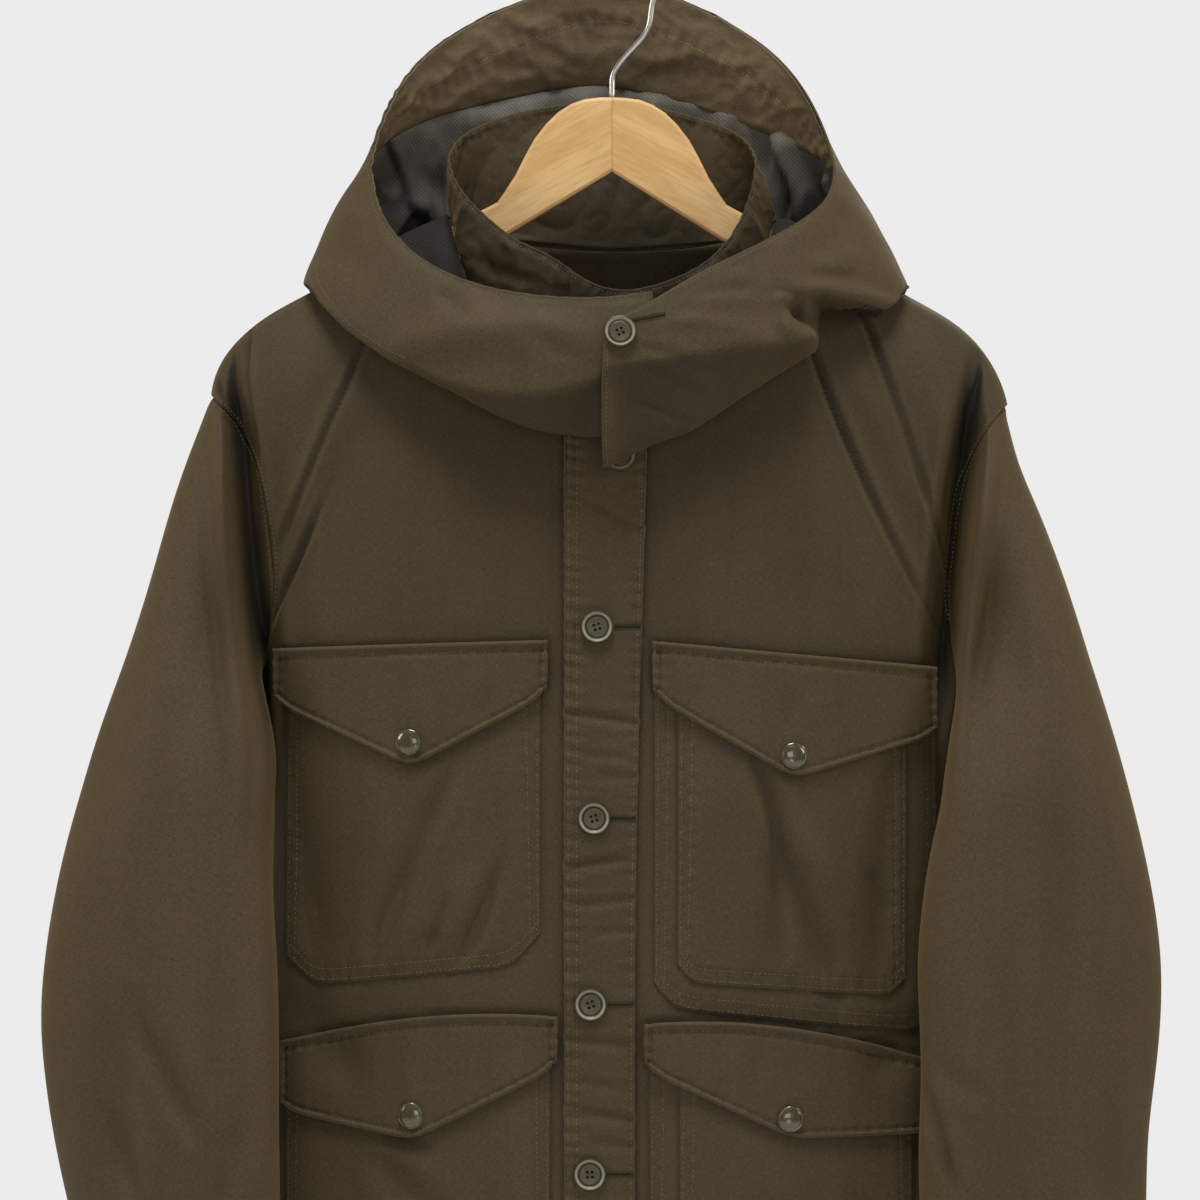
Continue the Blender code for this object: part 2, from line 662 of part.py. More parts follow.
def hood_grid():
    """Rows from the neck seam, under and round the fold, up to the rim."""
    last = len(HOOD_RINGS)
    grid = [[] for _ in HOOD_STOPS]
    for angle in HOOD_ANGLES:
        neck = neck_point(angle)
        outward = Vector((neck.x - HEAD_X, neck.y, 0)).normalized()
        from_front = min(angle % 360, -angle % 360)
        room = HOOD_NECK_OUT + (COLLAR_OVERLAP + SEAM_GAP) * fall(from_front, THROAT)
        profile = [neck + outward * room + Vector((0, 0, NECK_LIFT))]
        profile += [head_point(row, angle) for row in HOOD_RINGS]
        corner = rise(angle, CHIN_CORNER)
        column = []
        for t in HOOD_STOPS:
            above = max(0, (t - last + CHIN_ROWS) / CHIN_ROWS)
            point = curve_through(profile, t - CHIN_ROUND * corner * above ** CHIN_CURVE)
            point.z -= CHIN_DROP * corner * max(0, 1 - abs(t - CHIN_RING) / 2)
            column.append(point)
        lifts = [clearing(point, HOOD_ROOM) for point in column]
        fold_lift = max(lift for lift, t in zip(lifts, HOOD_STOPS) if t >= FOLD_START)
        for row, t in enumerate(HOOD_STOPS):
            share = smooth((FOLD_END - t) / 2) if t >= FOLD_START else 0
            column[row].z += max(lifts[row] if row else 0, fold_lift * share)
            grid[row].append(column[row])
    normals = surface_normals([grid], Vector((0, -1, 0)))[0]
    for row, directions in zip(grid, normals):
        for column, angle in enumerate(HOOD_ANGLES):
            row[column] += directions[column] * HOOD_OVERLAP * rise(angle, HOOD_LAP)
    return grid


def on_hood(x, z):
    """The outer face of the hood straight behind a place on the front, and the way it looks."""
    grid = hood_grid()
    width = len(grid[0])
    corners = [point for row in grid for point in row]
    faces = [(n, n + 1, n + 1 + width, n + width) for n in range(len(corners) - width) if (n + 1) % width]
    found = BVHTree.FromPolygons(corners, faces).ray_cast(Vector((x, -500, z)), Vector((0, 1, 0)))
    place, normal = found[:2]
    return place, normal if normal.y < 0 else -normal


# ---------------------------------------------------------------- pieces on the fronts

def pocket_swell(pocket, x, z):
    inner, outer, top, top_outer, bottom = POCKETS[pocket][:5]
    u = (x - inner) / (outer - inner)
    v = (z - bottom) / (mix(top, top_outer, u) - bottom)
    if not (0 < u < 1 and 0 < v < 1):
        return 0
    return POCKET_SWELL * math.sin(math.pi * u) * math.sin(math.pi * v)


def on_front(x, z, lift):
    """A place lifted off the front; what lies there stands off further where the front turns away."""
    turning = SIDE_LIFT * rise(abs(x), SIDE_TURN)
    return body_point(x, z, FRONT) + body_normal(x, z, FRONT) * (lift + turning)


def patch(name, pocket, finish_material):
    """A pocket patch with its two lower corners cut off."""
    inner, outer, top, top_outer, bottom, bottom_outer, cut, lift = POCKETS[name]
    width = abs(outer - inner)
    shares = [0, cut / width] + [mix(cut / width, 1 - cut / width, i / (POCKET_COLUMNS - 2))
                                 for i in range(1, POCKET_COLUMNS - 2)] + [1 - cut / width, 1]
    grid, normals = [], []
    for row in range(POCKET_ROWS + 1):
        points, directions = [], []
        for u in shares:
            x = mix(inner, outer, u)
            corner = cut if u in (0, 1) else 0
            z = mix(mix(bottom, bottom_outer, u) + corner, mix(top, top_outer, u), row / POCKET_ROWS)
            height = lift + PATCH_CLOTH + pocket_swell(pocket, x, z)
            points.append(on_front(x, z, height))
            directions.append(body_normal(x, z, FRONT))
        grid.append(points)
        normals.append(directions)
    return wall(name, [grid], [normals], PATCH_CLOTH, finish_material)


def flap(name, finish_material):
    """A pocket flap: a bowed top edge, two short ends, and straight lower edges that meet in a point."""
    pocket, inner, outer, top, middle, top_outer, drop, drop_outer, tip, tip_height, lift = FLAPS[name]
    tip_share = (tip - inner) / (outer - inner)
    crowded = [(i / FLAP_HALF_COLUMNS) ** FLAP_CROWDING for i in range(FLAP_HALF_COLUMNS + 1)]
    shares = [tip_share * crowd for crowd in crowded[:-1]]
    shares += [mix(1, tip_share, crowd) for crowd in reversed(crowded)]

    def ends(u):
        line = top * (1 - u) * (1 - 2 * u) + middle * 4 * u * (1 - u) + top_outer * u * (2 * u - 1)
        return line, line - mix(drop, drop_outer, u)

    grid, normals = [], []
    for row in range(FLAP_ROWS + 1):
        points, directions = [], []
        for u in shares:
            away = (tip_share - u) / tip_share if u < tip_share else (u - tip_share) / (1 - tip_share)
            upper, lower = ends(u)
            if 0 < u < 1:
                end = ends(1 if u > tip_share else 0)[1] - FLAP_CORNER
                lower = mix(tip_height, end, away)
            x = mix(inner, outer, u)
            z = mix(lower, upper, row / FLAP_ROWS)
            points.append(on_front(x, z, lift + FLAP_CLOTH + pocket_swell(pocket, x, z)))
            directions.append(body_normal(x, z, FRONT))
        grid.append(points)
        normals.append(directions)
    return wall(name, [grid], [normals], FLAP_CLOTH, finish_material)


def placket(finish_material):
    grid, normals = [], []
    for z in reversed(PLACKET_ROWS):
        seam = lookup(PLACKET_SEAM, z, 1)
        columns = (PLACKET_EDGE, (PLACKET_EDGE + seam) / 2, seam)
        grid.append([on_front(x, z, PLACKET_LIFT + PLACKET_CLOTH) for x in columns])
        normals.append([body_normal(x, z, FRONT) for x in columns])
    return wall("placket", [grid], [normals], PLACKET_CLOTH, finish_material)


# ---------------------------------------------------------------- buttons, snaps, hanger

def place_round(name, mesh, seat, facing):
    """A round part whose back sits at `seat` and whose face looks along `facing`."""
    made = bpy.data.objects.new(name, mesh)
    bpy.context.collection.objects.link(made)
    turn = facing.to_track_quat("Z", "Y").to_matrix().to_4x4()
    made.matrix_world = Matrix.Translation(hang(seat) * MM) @ turn
    return made


def button_mesh(finish_material):
    """A rimmed disc with four sewing holes, cut with one joined cutter."""
    disc = turned(BUTTON_PROFILE)
    holes = bmesh.new()
    for number in range(BUTTON_HOLES):
        turn = math.tau * (number + 0.5) / BUTTON_HOLES
        place = Vector((math.cos(turn), math.sin(turn), 0)) * BUTTON_HOLE_PITCH
        bmesh.ops.create_cone(holes, segments=BUTTON_HOLE_SIDES, radius1=BUTTON_HOLE, radius2=BUTTON_HOLE,
                              depth=BUTTON_DRILL, cap_ends=True, matrix=Matrix.Translation(place))
    disc_object = raw_object("button_blank", disc)
    cutter = raw_object("button_cutter", holes)
    cutter.hide_render = True
    cutter.display_type = "WIRE"
    cut = disc_object.modifiers.new("holes", "BOOLEAN")
    cut.object = cutter
    cut.operation = "DIFFERENCE"
    cut.solver = "EXACT"
    mesh = bpy.data.meshes.new_from_object(disc_object.evaluated_get(bpy.context.evaluated_depsgraph_get()))
    mesh.name = "button"
    mesh.materials.clear()
    mesh.materials.append(finish_material)
    for spare in (disc_object, cutter):
        bpy.data.objects.remove(spare)
    return mesh


def raw_object(name, bm):
    """An object in metres from a bmesh in millimetres, without the garment's lean."""
    bmesh.ops.scale(bm, vec=(MM, MM, MM), verts=bm.verts)
    bmesh.ops.recalc_face_normals(bm, faces=bm.faces)
    mesh = bpy.data.meshes.new(name)
    bm.to_mesh(mesh)
    bm.free()
    made = bpy.data.objects.new(name, mesh)
    bpy.context.collection.objects.link(made)
    return made


def snap_mesh(finish_material):
    bm = turned(SNAP_PROFILE)
    bmesh.ops.scale(bm, vec=(MM, MM, MM), verts=bm.verts)
    bmesh.ops.recalc_face_normals(bm, faces=bm.faces)
    mesh = bpy.data.meshes.new("snap")
    bm.to_mesh(mesh)
    bm.free()
    mesh.materials.append(finish_material)
    mesh.shade_smooth()
    mesh.set_sharp_from_angle(angle=math.radians(ROUND_SMOOTH))
    return mesh


def hanger_bar(finish_material):
    """A flat board cut to a shoulder slope, with its long edges rounded."""
    neck = [Vector((x, 0, z)) for x, z in HANGER_TOP[:-1]]
    top = [curve_through(neck, i / 2) for i in range(2 * len(neck) - 1)]
    top.append(Vector((HANGER_TOP[-1][0], 0, HANGER_TOP[-1][1])))
    half = top + [Vector((x, 0, z)) for x, z in HANGER_BOTTOM]
    outline = half + [Vector((-p.x, 0, p.z)) for p in reversed(half) if p.x > 0]
    bm = bmesh.new()
    front = -HANGER_THICKNESS / 2
    verts = [bm.verts.new((p.x, front, p.z)) for p in outline]
    face = bm.faces.new(verts)
    grown = bmesh.ops.extrude_face_region(bm, geom=[face], use_keep_orig=True)
    back = [item for item in grown["geom"] if isinstance(item, bmesh.types.BMVert)]
    bmesh.ops.translate(bm, vec=(0, HANGER_THICKNESS, 0), verts=back)
    long_edges = [edge for edge in bm.edges if abs(edge.verts[0].co.y - edge.verts[1].co.y) < 0.01]
    bmesh.ops.bevel(bm, geom=long_edges, offset=HANGER_EDGE, offset_type="OFFSET", segments=2,
                    profile=0.5, affect="EDGES", material=-1)
    return finish("hanger_bar", bm, finish_material, math.radians(HANGER_SMOOTH))


def hanger_hook(finish_material):
    """Wire from the top of the board, out to the side and round the rail, open at the far end."""
    stem = [Vector((x, 0, z)) for x, z in HOOK_STEM]
    middle = HOOK_WIRE - HOOK_RADIUS
    start, end = HOOK_ARC
    route = [curve_through(stem, i / 2) for i in range(2 * len(stem) - 2)]
    for number in range(HOOK_STEPS + 1):
        turn = math.radians(mix(start, end, number / HOOK_STEPS))
        route.append(Vector((HOOK_RADIUS * math.cos(turn), 0, middle + HOOK_RADIUS * math.sin(turn))))
    bm = bmesh.new()
    rings = []
    for number, place in enumerate(route):
        along = route[min(number + 1, len(route) - 1)] - route[max(number - 1, 0)]
        aside = along.cross(Vector((0, 1, 0))).normalized()
        turns = [math.tau * i / HOOK_SIDES for i in range(HOOK_SIDES)]
        rings.append([bm.verts.new(place + (aside * math.cos(turn) + Vector((0, math.sin(turn), 0))) * HOOK_WIRE)
                      for turn in turns])
    for lower, upper in zip(rings, rings[1:]):
        for i in range(HOOK_SIDES):
            j = (i + 1) % HOOK_SIDES
            bm.faces.new((lower[i], lower[j], upper[j], upper[i]))
    bm.faces.new(rings[0])
    bm.faces.new(rings[-1])
    return finish("hanger_hook", bm, finish_material, math.radians(HANGER_SMOOTH))


# ---------------------------------------------------------------- the jacket

def sew_body(cloth):
    grids = [
        panel_grid(FRONT, RIGHT, -FRONT_EDGE),
        panel_grid(FRONT, LEFT, FRONT_EDGE),
        panel_grid(BACK, RIGHT, 0),
        panel_grid(BACK, LEFT, 0),
        sleeve_grid(RIGHT),
        sleeve_grid(LEFT),
    ]
    forward = Vector((0, -1, 0))
    joined = surface_normals(grids, forward)
    alone = surface_normals(grids[:4], forward)
    alone += surface_normals(grids[4:5], forward)
    alone += surface_normals(grids[5:], forward)
    normals = [mitred(*pair) for pair in zip(joined, alone)]
    wall("front_right", grids[:1], normals[:1], BODY_CLOTH, cloth)
    wall("front_left", grids[1:2], normals[1:2], BODY_CLOTH, cloth)
    whole_rows = len(HEM_TO_UNDERARM) + CENTRE_STEPS[BACK]
    wall("back", grids[2:4], normals[2:4], BODY_CLOTH, cloth, joined_rows=whole_rows)
    wall("sleeve_right", grids[4:5], normals[4:5], BODY_CLOTH, cloth, closed=True)
    wall("sleeve_left", grids[5:], normals[5:], BODY_CLOTH, cloth, closed=True)


def sew_collar(cloth):
    grid = collar_grid()
    wall("collar", [grid], surface_normals([grid], Vector((0, -1, 0))), HOOD_CLOTH, cloth)


def sew_hood(cloth, facing_cloth, lining_cloth):
    grid = hood_grid()
    normals = surface_normals([grid], Vector((0, -1, 0)))[0]
    first, second = [HOOD_ANGLES.index(seam) for seam in HOOD_PANEL_SEAMS]
    last = len(grid[0]) - 1
    panels = {"hood_side_right": (0, first), "hood_centre": (first, second), "hood_side_left": (second, last)}
    for name, (start, end) in panels.items():
        piece = [row[start:end + 1] for row in grid]
        wall(name, [piece], [[row[start:end + 1] for row in normals]], HOOD_CLOTH, cloth)
    inside = moved(grid, normals, -(HOOD_CLOTH + SEAM_GAP))
    low, high = FACING_ROWS
    wall("hood_facing", [inside[low:high + 1]], [normals[low:high + 1]], LINING_CLOTH, facing_cloth)
    low, high = LINING_ROWS
    start, end = [HOOD_ANGLES.index(angle) for angle in LINING_ANGLES]
    lining = [row[start:end + 1] for row in inside[low:high + 1]]
    directions = [row[start:end + 1] for row in normals[low:high + 1]]
    wall("hood_lining", [lining], [directions], LINING_CLOTH, lining_cloth)


def sew_pockets(cloth):
    for name in POCKETS:
        patch(name, name.replace("patch", "pocket"), cloth)
    for name in FLAPS:
        flap(name, cloth)


def fasten(button_finish, snap_finish):
    button = button_mesh(button_finish)
    face = PLACKET_LIFT + PLACKET_CLOTH + SMALL_SEAT
    for number, (x, z) in enumerate(BUTTON_PLACES, 1):
        place_round(f"button_{number}", button, on_front(x, z, face), body_normal(x, z, FRONT))
    seat, facing = on_hood(*CHIN_BUTTON)
    place_round("button_chin", button, seat + facing * SMALL_SEAT, facing)
    snap = snap_mesh(snap_finish)
    for name, (x, z) in SNAP_PLACES.items():
        pocket, lift = FLAPS[name][0], FLAPS[name][-1]
        seat = lift + FLAP_CLOTH + SMALL_SEAT + pocket_swell(pocket, x, z)
        place_round(name.replace("flap", "snap"), snap, on_front(x, z, seat), body_normal(x, z, FRONT))


for old in list(bpy.data.objects):
    bpy.data.objects.remove(old)

shell_cloth = material("olive_shell", (0.065, 0.048, 0.027), 0.72)
facing_cloth = material("olive_facing", (0.068, 0.049, 0.027), 0.75)
grey_lining = material("grey_lining", (0.16, 0.15, 0.13), 0.85)
olive_button = material("olive_button", (0.09, 0.083, 0.06), 0.35)
olive_snap = material("olive_snap", (0.075, 0.07, 0.03), 0.2, 0.3)
beech = material("beech", (0.64, 0.41, 0.2), 0.5)
steel = material("steel", (0.6, 0.59, 0.57), 0.25, 1.0)

sew_body(shell_cloth)
sew_collar(shell_cloth)
sew_hood(shell_cloth, facing_cloth, grey_lining)
placket(shell_cloth)
sew_pockets(shell_cloth)
fasten(olive_button, olive_snap)
hanger_bar(beech)
hanger_hook(steel)
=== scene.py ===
import math

import bmesh
import bpy
import numpy as np
from mathutils import Matrix, Vector, noise
from mathutils.bvhtree import BVHTree
from mathutils.kdtree import KDTree


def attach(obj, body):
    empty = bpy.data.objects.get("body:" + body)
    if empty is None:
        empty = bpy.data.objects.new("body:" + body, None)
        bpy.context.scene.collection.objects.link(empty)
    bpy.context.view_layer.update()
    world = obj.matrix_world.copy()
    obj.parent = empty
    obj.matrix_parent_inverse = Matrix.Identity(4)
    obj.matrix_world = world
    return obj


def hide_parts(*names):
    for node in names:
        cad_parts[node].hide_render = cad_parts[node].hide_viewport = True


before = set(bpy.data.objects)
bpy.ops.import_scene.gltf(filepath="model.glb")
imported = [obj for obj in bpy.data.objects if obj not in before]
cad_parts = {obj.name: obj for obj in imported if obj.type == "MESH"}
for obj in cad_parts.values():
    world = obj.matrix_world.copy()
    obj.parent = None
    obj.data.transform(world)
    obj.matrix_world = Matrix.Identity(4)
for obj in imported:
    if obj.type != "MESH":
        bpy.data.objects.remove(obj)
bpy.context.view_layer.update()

# -------------------- studio
# A pale floor in soft daylight: a wide lamp high in front, and weaker ones low in front, at both
# sides and behind. The garment hangs free above the floor.
MM = 0.001  # the sizes and places of the pieces are in millimetres
PAPER = (0.838, 0.838, 0.838)
CHEST = (0, 0, -0.45)


def placed(name, data):
    """A new object in the scene."""
    made = bpy.data.objects.new(name, data)
    bpy.context.collection.objects.link(made)
    return made


def as_object(name, bm):
    """A new object in the scene from a bmesh."""
    mesh = bpy.data.meshes.new(name)
    bm.to_mesh(mesh)
    bm.free()
    return placed(name, mesh)


camera = placed("camera", bpy.data.cameras.new("camera"))
camera.data.lens = 130
camera.data.sensor_width = 36
camera.location = (-0.0074, -2.685, -0.4027)
camera.rotation_euler = (math.radians(90), 0, 0)
bpy.context.scene.camera = camera
bpy.context.scene.view_settings.view_transform = "Standard"

LAMPS = {
    # place, aim, width, height, power, tint
    "high_front_lamp": ((-0.15, -1.3, 3.1), CHEST, 1.7, 1.2, 116, (1, 1, 1)),
    "front_lamp": ((0.2, -3.2, -0.2), CHEST, 1.4, 1.0, 12, (1, 1, 1)),
    "low_lamp": ((0.45, -2.3, -1.15), (0, 0, -0.55), 0.4, 0.3, 1.2, (1, 1, 1)),
    "right_lamp": ((-2.4, -0.6, 0.6), (0, 0, -0.4), 0.8, 1.2, 24, (1, 0.92, 0.78)),
    "left_lamp": ((2.4, -0.6, 0.6), (0, 0, -0.4), 0.8, 1.2, 24, (1, 0.92, 0.78)),
    "back_lamp": ((0.4, 2.4, 1.2), CHEST, 1.8, 1.2, 34, (1, 1, 1)),
}
for name, (place, aim, width, height, power, tint) in LAMPS.items():
    lamp = bpy.data.lights.new(name, "AREA")
    lamp.shape = "RECTANGLE"
    lamp.size, lamp.size_y, lamp.energy, lamp.color = width, height, power, tint
    holder = placed(name, lamp)
    holder.location = place
    holder.rotation_euler = (Vector(aim) - Vector(place)).to_track_quat("-Z", "Y").to_euler()

world = bpy.data.worlds.new("daylight")
bpy.context.scene.world = world
world.use_nodes = True
sky = world.node_tree
dim = sky.nodes["Background"]
dim.inputs["Color"].default_value = (*PAPER, 1)
dim.inputs["Strength"].default_value = 0.2
plain = sky.nodes.new("ShaderNodeBackground")
plain.inputs["Color"].default_value = (*PAPER, 1)
path = sky.nodes.new("ShaderNodeLightPath")
choose = sky.nodes.new("ShaderNodeMixShader")
sky.links.new(path.outputs["Is Camera Ray"], choose.inputs["Fac"])
sky.links.new(dim.outputs["Background"], choose.inputs[1])
sky.links.new(plain.outputs["Background"], choose.inputs[2])
sky.links.new(choose.outputs["Shader"], sky.nodes["World Output"].inputs["Surface"])

FLOOR_HEIGHT, FLOOR_RADIUS = -1.3, 2.6
ground = bmesh.new()
bmesh.ops.create_circle(ground, cap_ends=True, segments=96, radius=FLOOR_RADIUS,
                        matrix=Matrix.Translation((0, 0, FLOOR_HEIGHT)))
floor = as_object("floor", ground)
paper = bpy.data.materials.new("paper")
paper.use_nodes = True
paper_shader = paper.node_tree.nodes["Principled BSDF"]
paper_shader.inputs["Base Color"].default_value = (*PAPER, 1)
paper_shader.inputs["Roughness"].default_value = 0.9
floor.data.materials.append(paper)

# -------------------- shell cloth
# Dense cotton woven of brown warp and olive weft, which nearly all pieces are cut from and sewn
# with olive thread. Light catches it golden along its turned edges.


class Shade:
    """One socket of a finish. Sums, differences and products with it add their Math nodes."""

    def __init__(self, finish, socket):
        self.finish = finish
        self.socket = socket

    def calculate(self, operation, first, second=0.0):
        return self.finish.node("Math", {"operation": operation}, {0: first, 1: second})

    def __add__(self, other):
        return self.calculate("ADD", self, other)

    __radd__ = __add__

    def __sub__(self, other):
        return self.calculate("SUBTRACT", self, other)

    def __rsub__(self, other):
        return self.calculate("SUBTRACT", other, self)

    def __mul__(self, other):
        return self.calculate("MULTIPLY", self, other)

    __rmul__ = __mul__


class Finish:
    """A material while it is mixed; node() adds any node to it."""

    def __init__(self, name):
        self.material = bpy.data.materials.new(name)
        self.material.use_nodes = True
        self.tree = self.material.node_tree
        self.shader = self.tree.nodes["Principled BSDF"]

    def node(self, kind, settings=None, inputs=None, output=0):
        made = self.tree.nodes.new("ShaderNode" + kind)
        for name, value in (settings or {}).items():
            if name == "stops":
                for number, (place, colour) in enumerate(value):
                    stops = made.color_ramp.elements
                    stop = stops[number] if number < 2 else stops.new(place)
                    stop.position, stop.color = place, (*colour, 1)
            else:
                setattr(made, name, value)
        for name, value in (inputs or {}).items():
            self.feed(made.inputs[name], value)
        return Shade(self, made.outputs[output])

    def feed(self, socket, value):
        if isinstance(value, Shade):
            self.tree.links.new(value.socket, socket)
        else:
            a_colour = isinstance(value, tuple) and len(value) == 3 and len(socket.default_value) == 4
            socket.default_value = (*value, 1) if a_colour else value

    def mix(self, share, first, second):
        """A colour between two."""
        return self.node("Mix", {"data_type": "RGBA"}, {0: share, 6: first, 7: second}, 2)

    def span(self, value, low, high, to_low=0.0, to_high=1.0):
        """Carry a value smoothly from one range to another."""
        return self.node("MapRange", {"interpolation_type": "SMOOTHSTEP"},
                         {0: value, 1: low, 2: high, 3: to_low, 4: to_high})

    def speckle(self, place, scale, detail=2.0, stretch=(1, 1, 1)):
        """Noise from 0 to 1, finer along the directions of a larger stretch."""
        moved = self.node("Mapping", {}, {"Vector": place, "Scale": stretch})
        return self.node("TexNoise", {}, {"Vector": moved, "Scale": scale, "Detail": detail})

    def set(self, **sockets):
        for name, value in sockets.items():
            self.feed(self.shader.inputs[name.replace("_", " ")], value)

    def relief(self, height, distance, strength=1.0):
        bump = self.node("Bump", {}, {"Height": height, "Distance": distance, "Strength": strength})
        self.feed(self.shader.inputs["Normal"], bump)


def woven(name, warp, weft, roughness, sheen, tint, crinkle=0.0, twill=0):
    """Cloth of two yarns: fine streaks both ways or slanting ribs, clouds of tone, painted shade where a
    piece notes it, a thread-deep relief.
    """
    cloth = Finish(name)
    grain = cloth.node("UVMap", {"uv_map": "grain"})
    place = cloth.node("TexCoord", output=3)
    lengthwise = cloth.speckle(grain, 1700, 1.0, (1, 0.2, 1))
    crosswise = cloth.speckle(grain, 1700, 1.0, (0.2, 1, 1))
    clouds = cloth.speckle(place, 9, 4)
    blotch = cloth.speckle(place, 34, 3)
    weave = cloth.span(lengthwise - crosswise, -0.3, 0.3)
    if twill:
        ribs = cloth.node("TexWave", {"bands_direction": "DIAGONAL"},
                          {"Vector": grain, "Scale": twill, "Distortion": 0.6, "Detail": 1.0}, 1)
        weave = 0.2 * weave + 0.8 * ribs
    colour = cloth.mix(weave, warp, weft)
    slub = cloth.speckle(grain, 260, 2, (1, 0.12, 1)) + cloth.speckle(grain, 260, 2, (0.12, 1, 1))
    painted_shade = cloth.node("Attribute", {"attribute_name": "painted_shade"}, output=2)
    streaks = cloth.speckle(grain, 45, 3, (1, 0.1, 1))
    # Clouds, blotches, slubs and streaks are the cloth's own uneven tone; the attribute darkens it as painted
    # shade in creases, turns and under other layers.
    tone_and_painted_shade = (0.58 + 0.22 * clouds + 0.1 * blotch + 0.12 * slub + 0.28 * streaks) * (1 - 0.62 * painted_shade)
    colour = cloth.node("VectorMath", {"operation": "SCALE"}, {0: colour, "Scale": tone_and_painted_shade})
    cloth.set(Base_Color=colour, Roughness=roughness - 0.08 * blotch)
    cloth.set(Sheen_Weight=sheen, Sheen_Roughness=0.42, Sheen_Tint=tint, Specular_IOR_Level=0.2)
    wrinkles = cloth.speckle(place, 120, 3, (1, 1, 1.6))
    cloth.relief(0.3 * lengthwise + 0.3 * crosswise + crinkle * wrinkles + 2.2 * blotch + 0.5 * slub,
                 0.0003, 0.75)
    return cloth.material


def twisted(name, colour):
    """Sewing thread: two plies, a little lighter on top."""
    yarn = Finish(name)
    place = yarn.node("TexCoord", output=3)
    fleck = yarn.speckle(place, 900, 1.0)
    tone = yarn.node("VectorMath", {"operation": "SCALE"}, {0: colour, "Scale": 0.75 + 0.5 * fleck})
    yarn.set(Base_Color=tone, Roughness=0.65 + 0.2 * fleck, Specular_IOR_Level=0.1)
    yarn.relief(yarn.speckle(place, 2500, 1.0), 0.0001, 0.4)
    return yarn.material


shell_cloth = woven("shell_cloth", warp=(0.080, 0.054, 0.025), weft=(0.048, 0.038, 0.019),
                    roughness=0.72, sheen=0.16, tint=(0.68, 0.49, 0.2))
olive_thread = twisted("olive_thread", (0.15, 0.125, 0.068))

# -------------------- fronts
# Two plain panels of shell cloth from the shoulder to the hem, seamed to the back. Drag folds run
# from the neck to the underarm, and the hem is turned up and stitched.
UP, DOWN, RIGHT, LEFT = (0, 0, 1), (0, 0, -1), (-1, 0, 0), (1, 0, 0)
FRONT, BACK = -1, 1
FAR = 3000
IN_FRONT = (0, -FAR, -400)  # from here the front pieces are seen


def quads_of(node):
    """A CAD part as a bmesh of quads."""
    bm = bmesh.new()
    bm.from_mesh(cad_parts[node].data)
    bmesh.ops.remove_doubles(bm, verts=bm.verts, dist=0.02 * MM)
    bmesh.ops.join_triangles(bm, faces=bm.faces, angle_face_threshold=math.pi,
                             angle_shape_threshold=math.pi, topology_influence=1.0)
    return bm


def outer_face(node, seen_from):
    """The face of a wall of cloth that looks at a place, up to the corners where the wall turns in."""
    bm = quads_of(node)
    viewer = Vector(seen_from) * MM
    corner = math.cos(math.radians(62))

    def seen(face):
        # Of two faces that look at the place, the nearer one is on the outside.
        sight = viewer - face.calc_center_median()
        return face.normal.dot(sight.normalized()) - 3 * sight.length

    first = max(bm.faces, key=seen)
    kept, waiting = {first}, [first]
    while waiting:
        face = waiting.pop()
        for edge in face.edges:
            for other in edge.link_faces:
                if other not in kept and other.normal.dot(face.normal) > corner:
                    kept.add(other)
                    waiting.append(other)
    bmesh.ops.delete(bm, geom=[face for face in bm.faces if face not in kept], context="FACES")
    return bm


def finished(blank):
    """The mesh that an object has with its modifiers; the object itself goes."""
    mesh = bpy.data.meshes.new_from_object(blank.evaluated_get(bpy.context.evaluated_depsgraph_get()))
    bpy.data.objects.remove(blank)
    return mesh


def rounded(bm, rounds, crisp=False):
    """A smooth fine mesh from a coarse bmesh; a crisp one keeps its corners tight."""
    if crisp:
        bmesh.ops.subdivide_edges(bm, edges=bm.edges, cuts=1, use_grid_fill=True)
    blank = as_object("coarse", bm)
    finer = blank.modifiers.new("finer", "SUBSURF")
    finer.levels = finer.render_levels = rounds
    finer.boundary_smooth = "PRESERVE_CORNERS"
    return finished(blank)


def read(items, name, width=None, kind=float):
    """One property of all items of a mesh, as a list or as rows."""
    found = np.zeros(len(items) * (width or 1), kind)
    items.foreach_get(name, found)
    return found.reshape(-1, width) if width else found


def points_of(mesh):
    return read(mesh.vertices, "co", 3)


def normals_of(mesh):
    return read(mesh.vertex_normals, "vector", 3)


def reshape(mesh, places):
    mesh.vertices.foreach_set("co", places.ravel())
    mesh.update()


def swell(mesh, heights):
    """Move the points of a piece out along their normals, by millimetres."""
    reshape(mesh, points_of(mesh) + normals_of(mesh) * np.reshape(heights * MM, (-1, 1)))


def tree_of(places):
    """A search tree of some points."""
    tree = KDTree(len(places))
    for number, place in enumerate(places):
        tree.insert(place, number)
    tree.balance()
    return tree


def smooth(share):
    share = np.clip(share, 0, 1)
    return share * share * (3 - 2 * share)


def from_border(mesh):
    """Distance of every point of a piece from its cut edge, in millimetres."""
    bm = bmesh.new()
    bm.from_mesh(mesh)
    tree = tree_of([vert.co.copy() for vert in bm.verts if vert.is_boundary])
    bm.free()
    return np.array([tree.find(vert.co)[2] for vert in mesh.vertices]) / MM


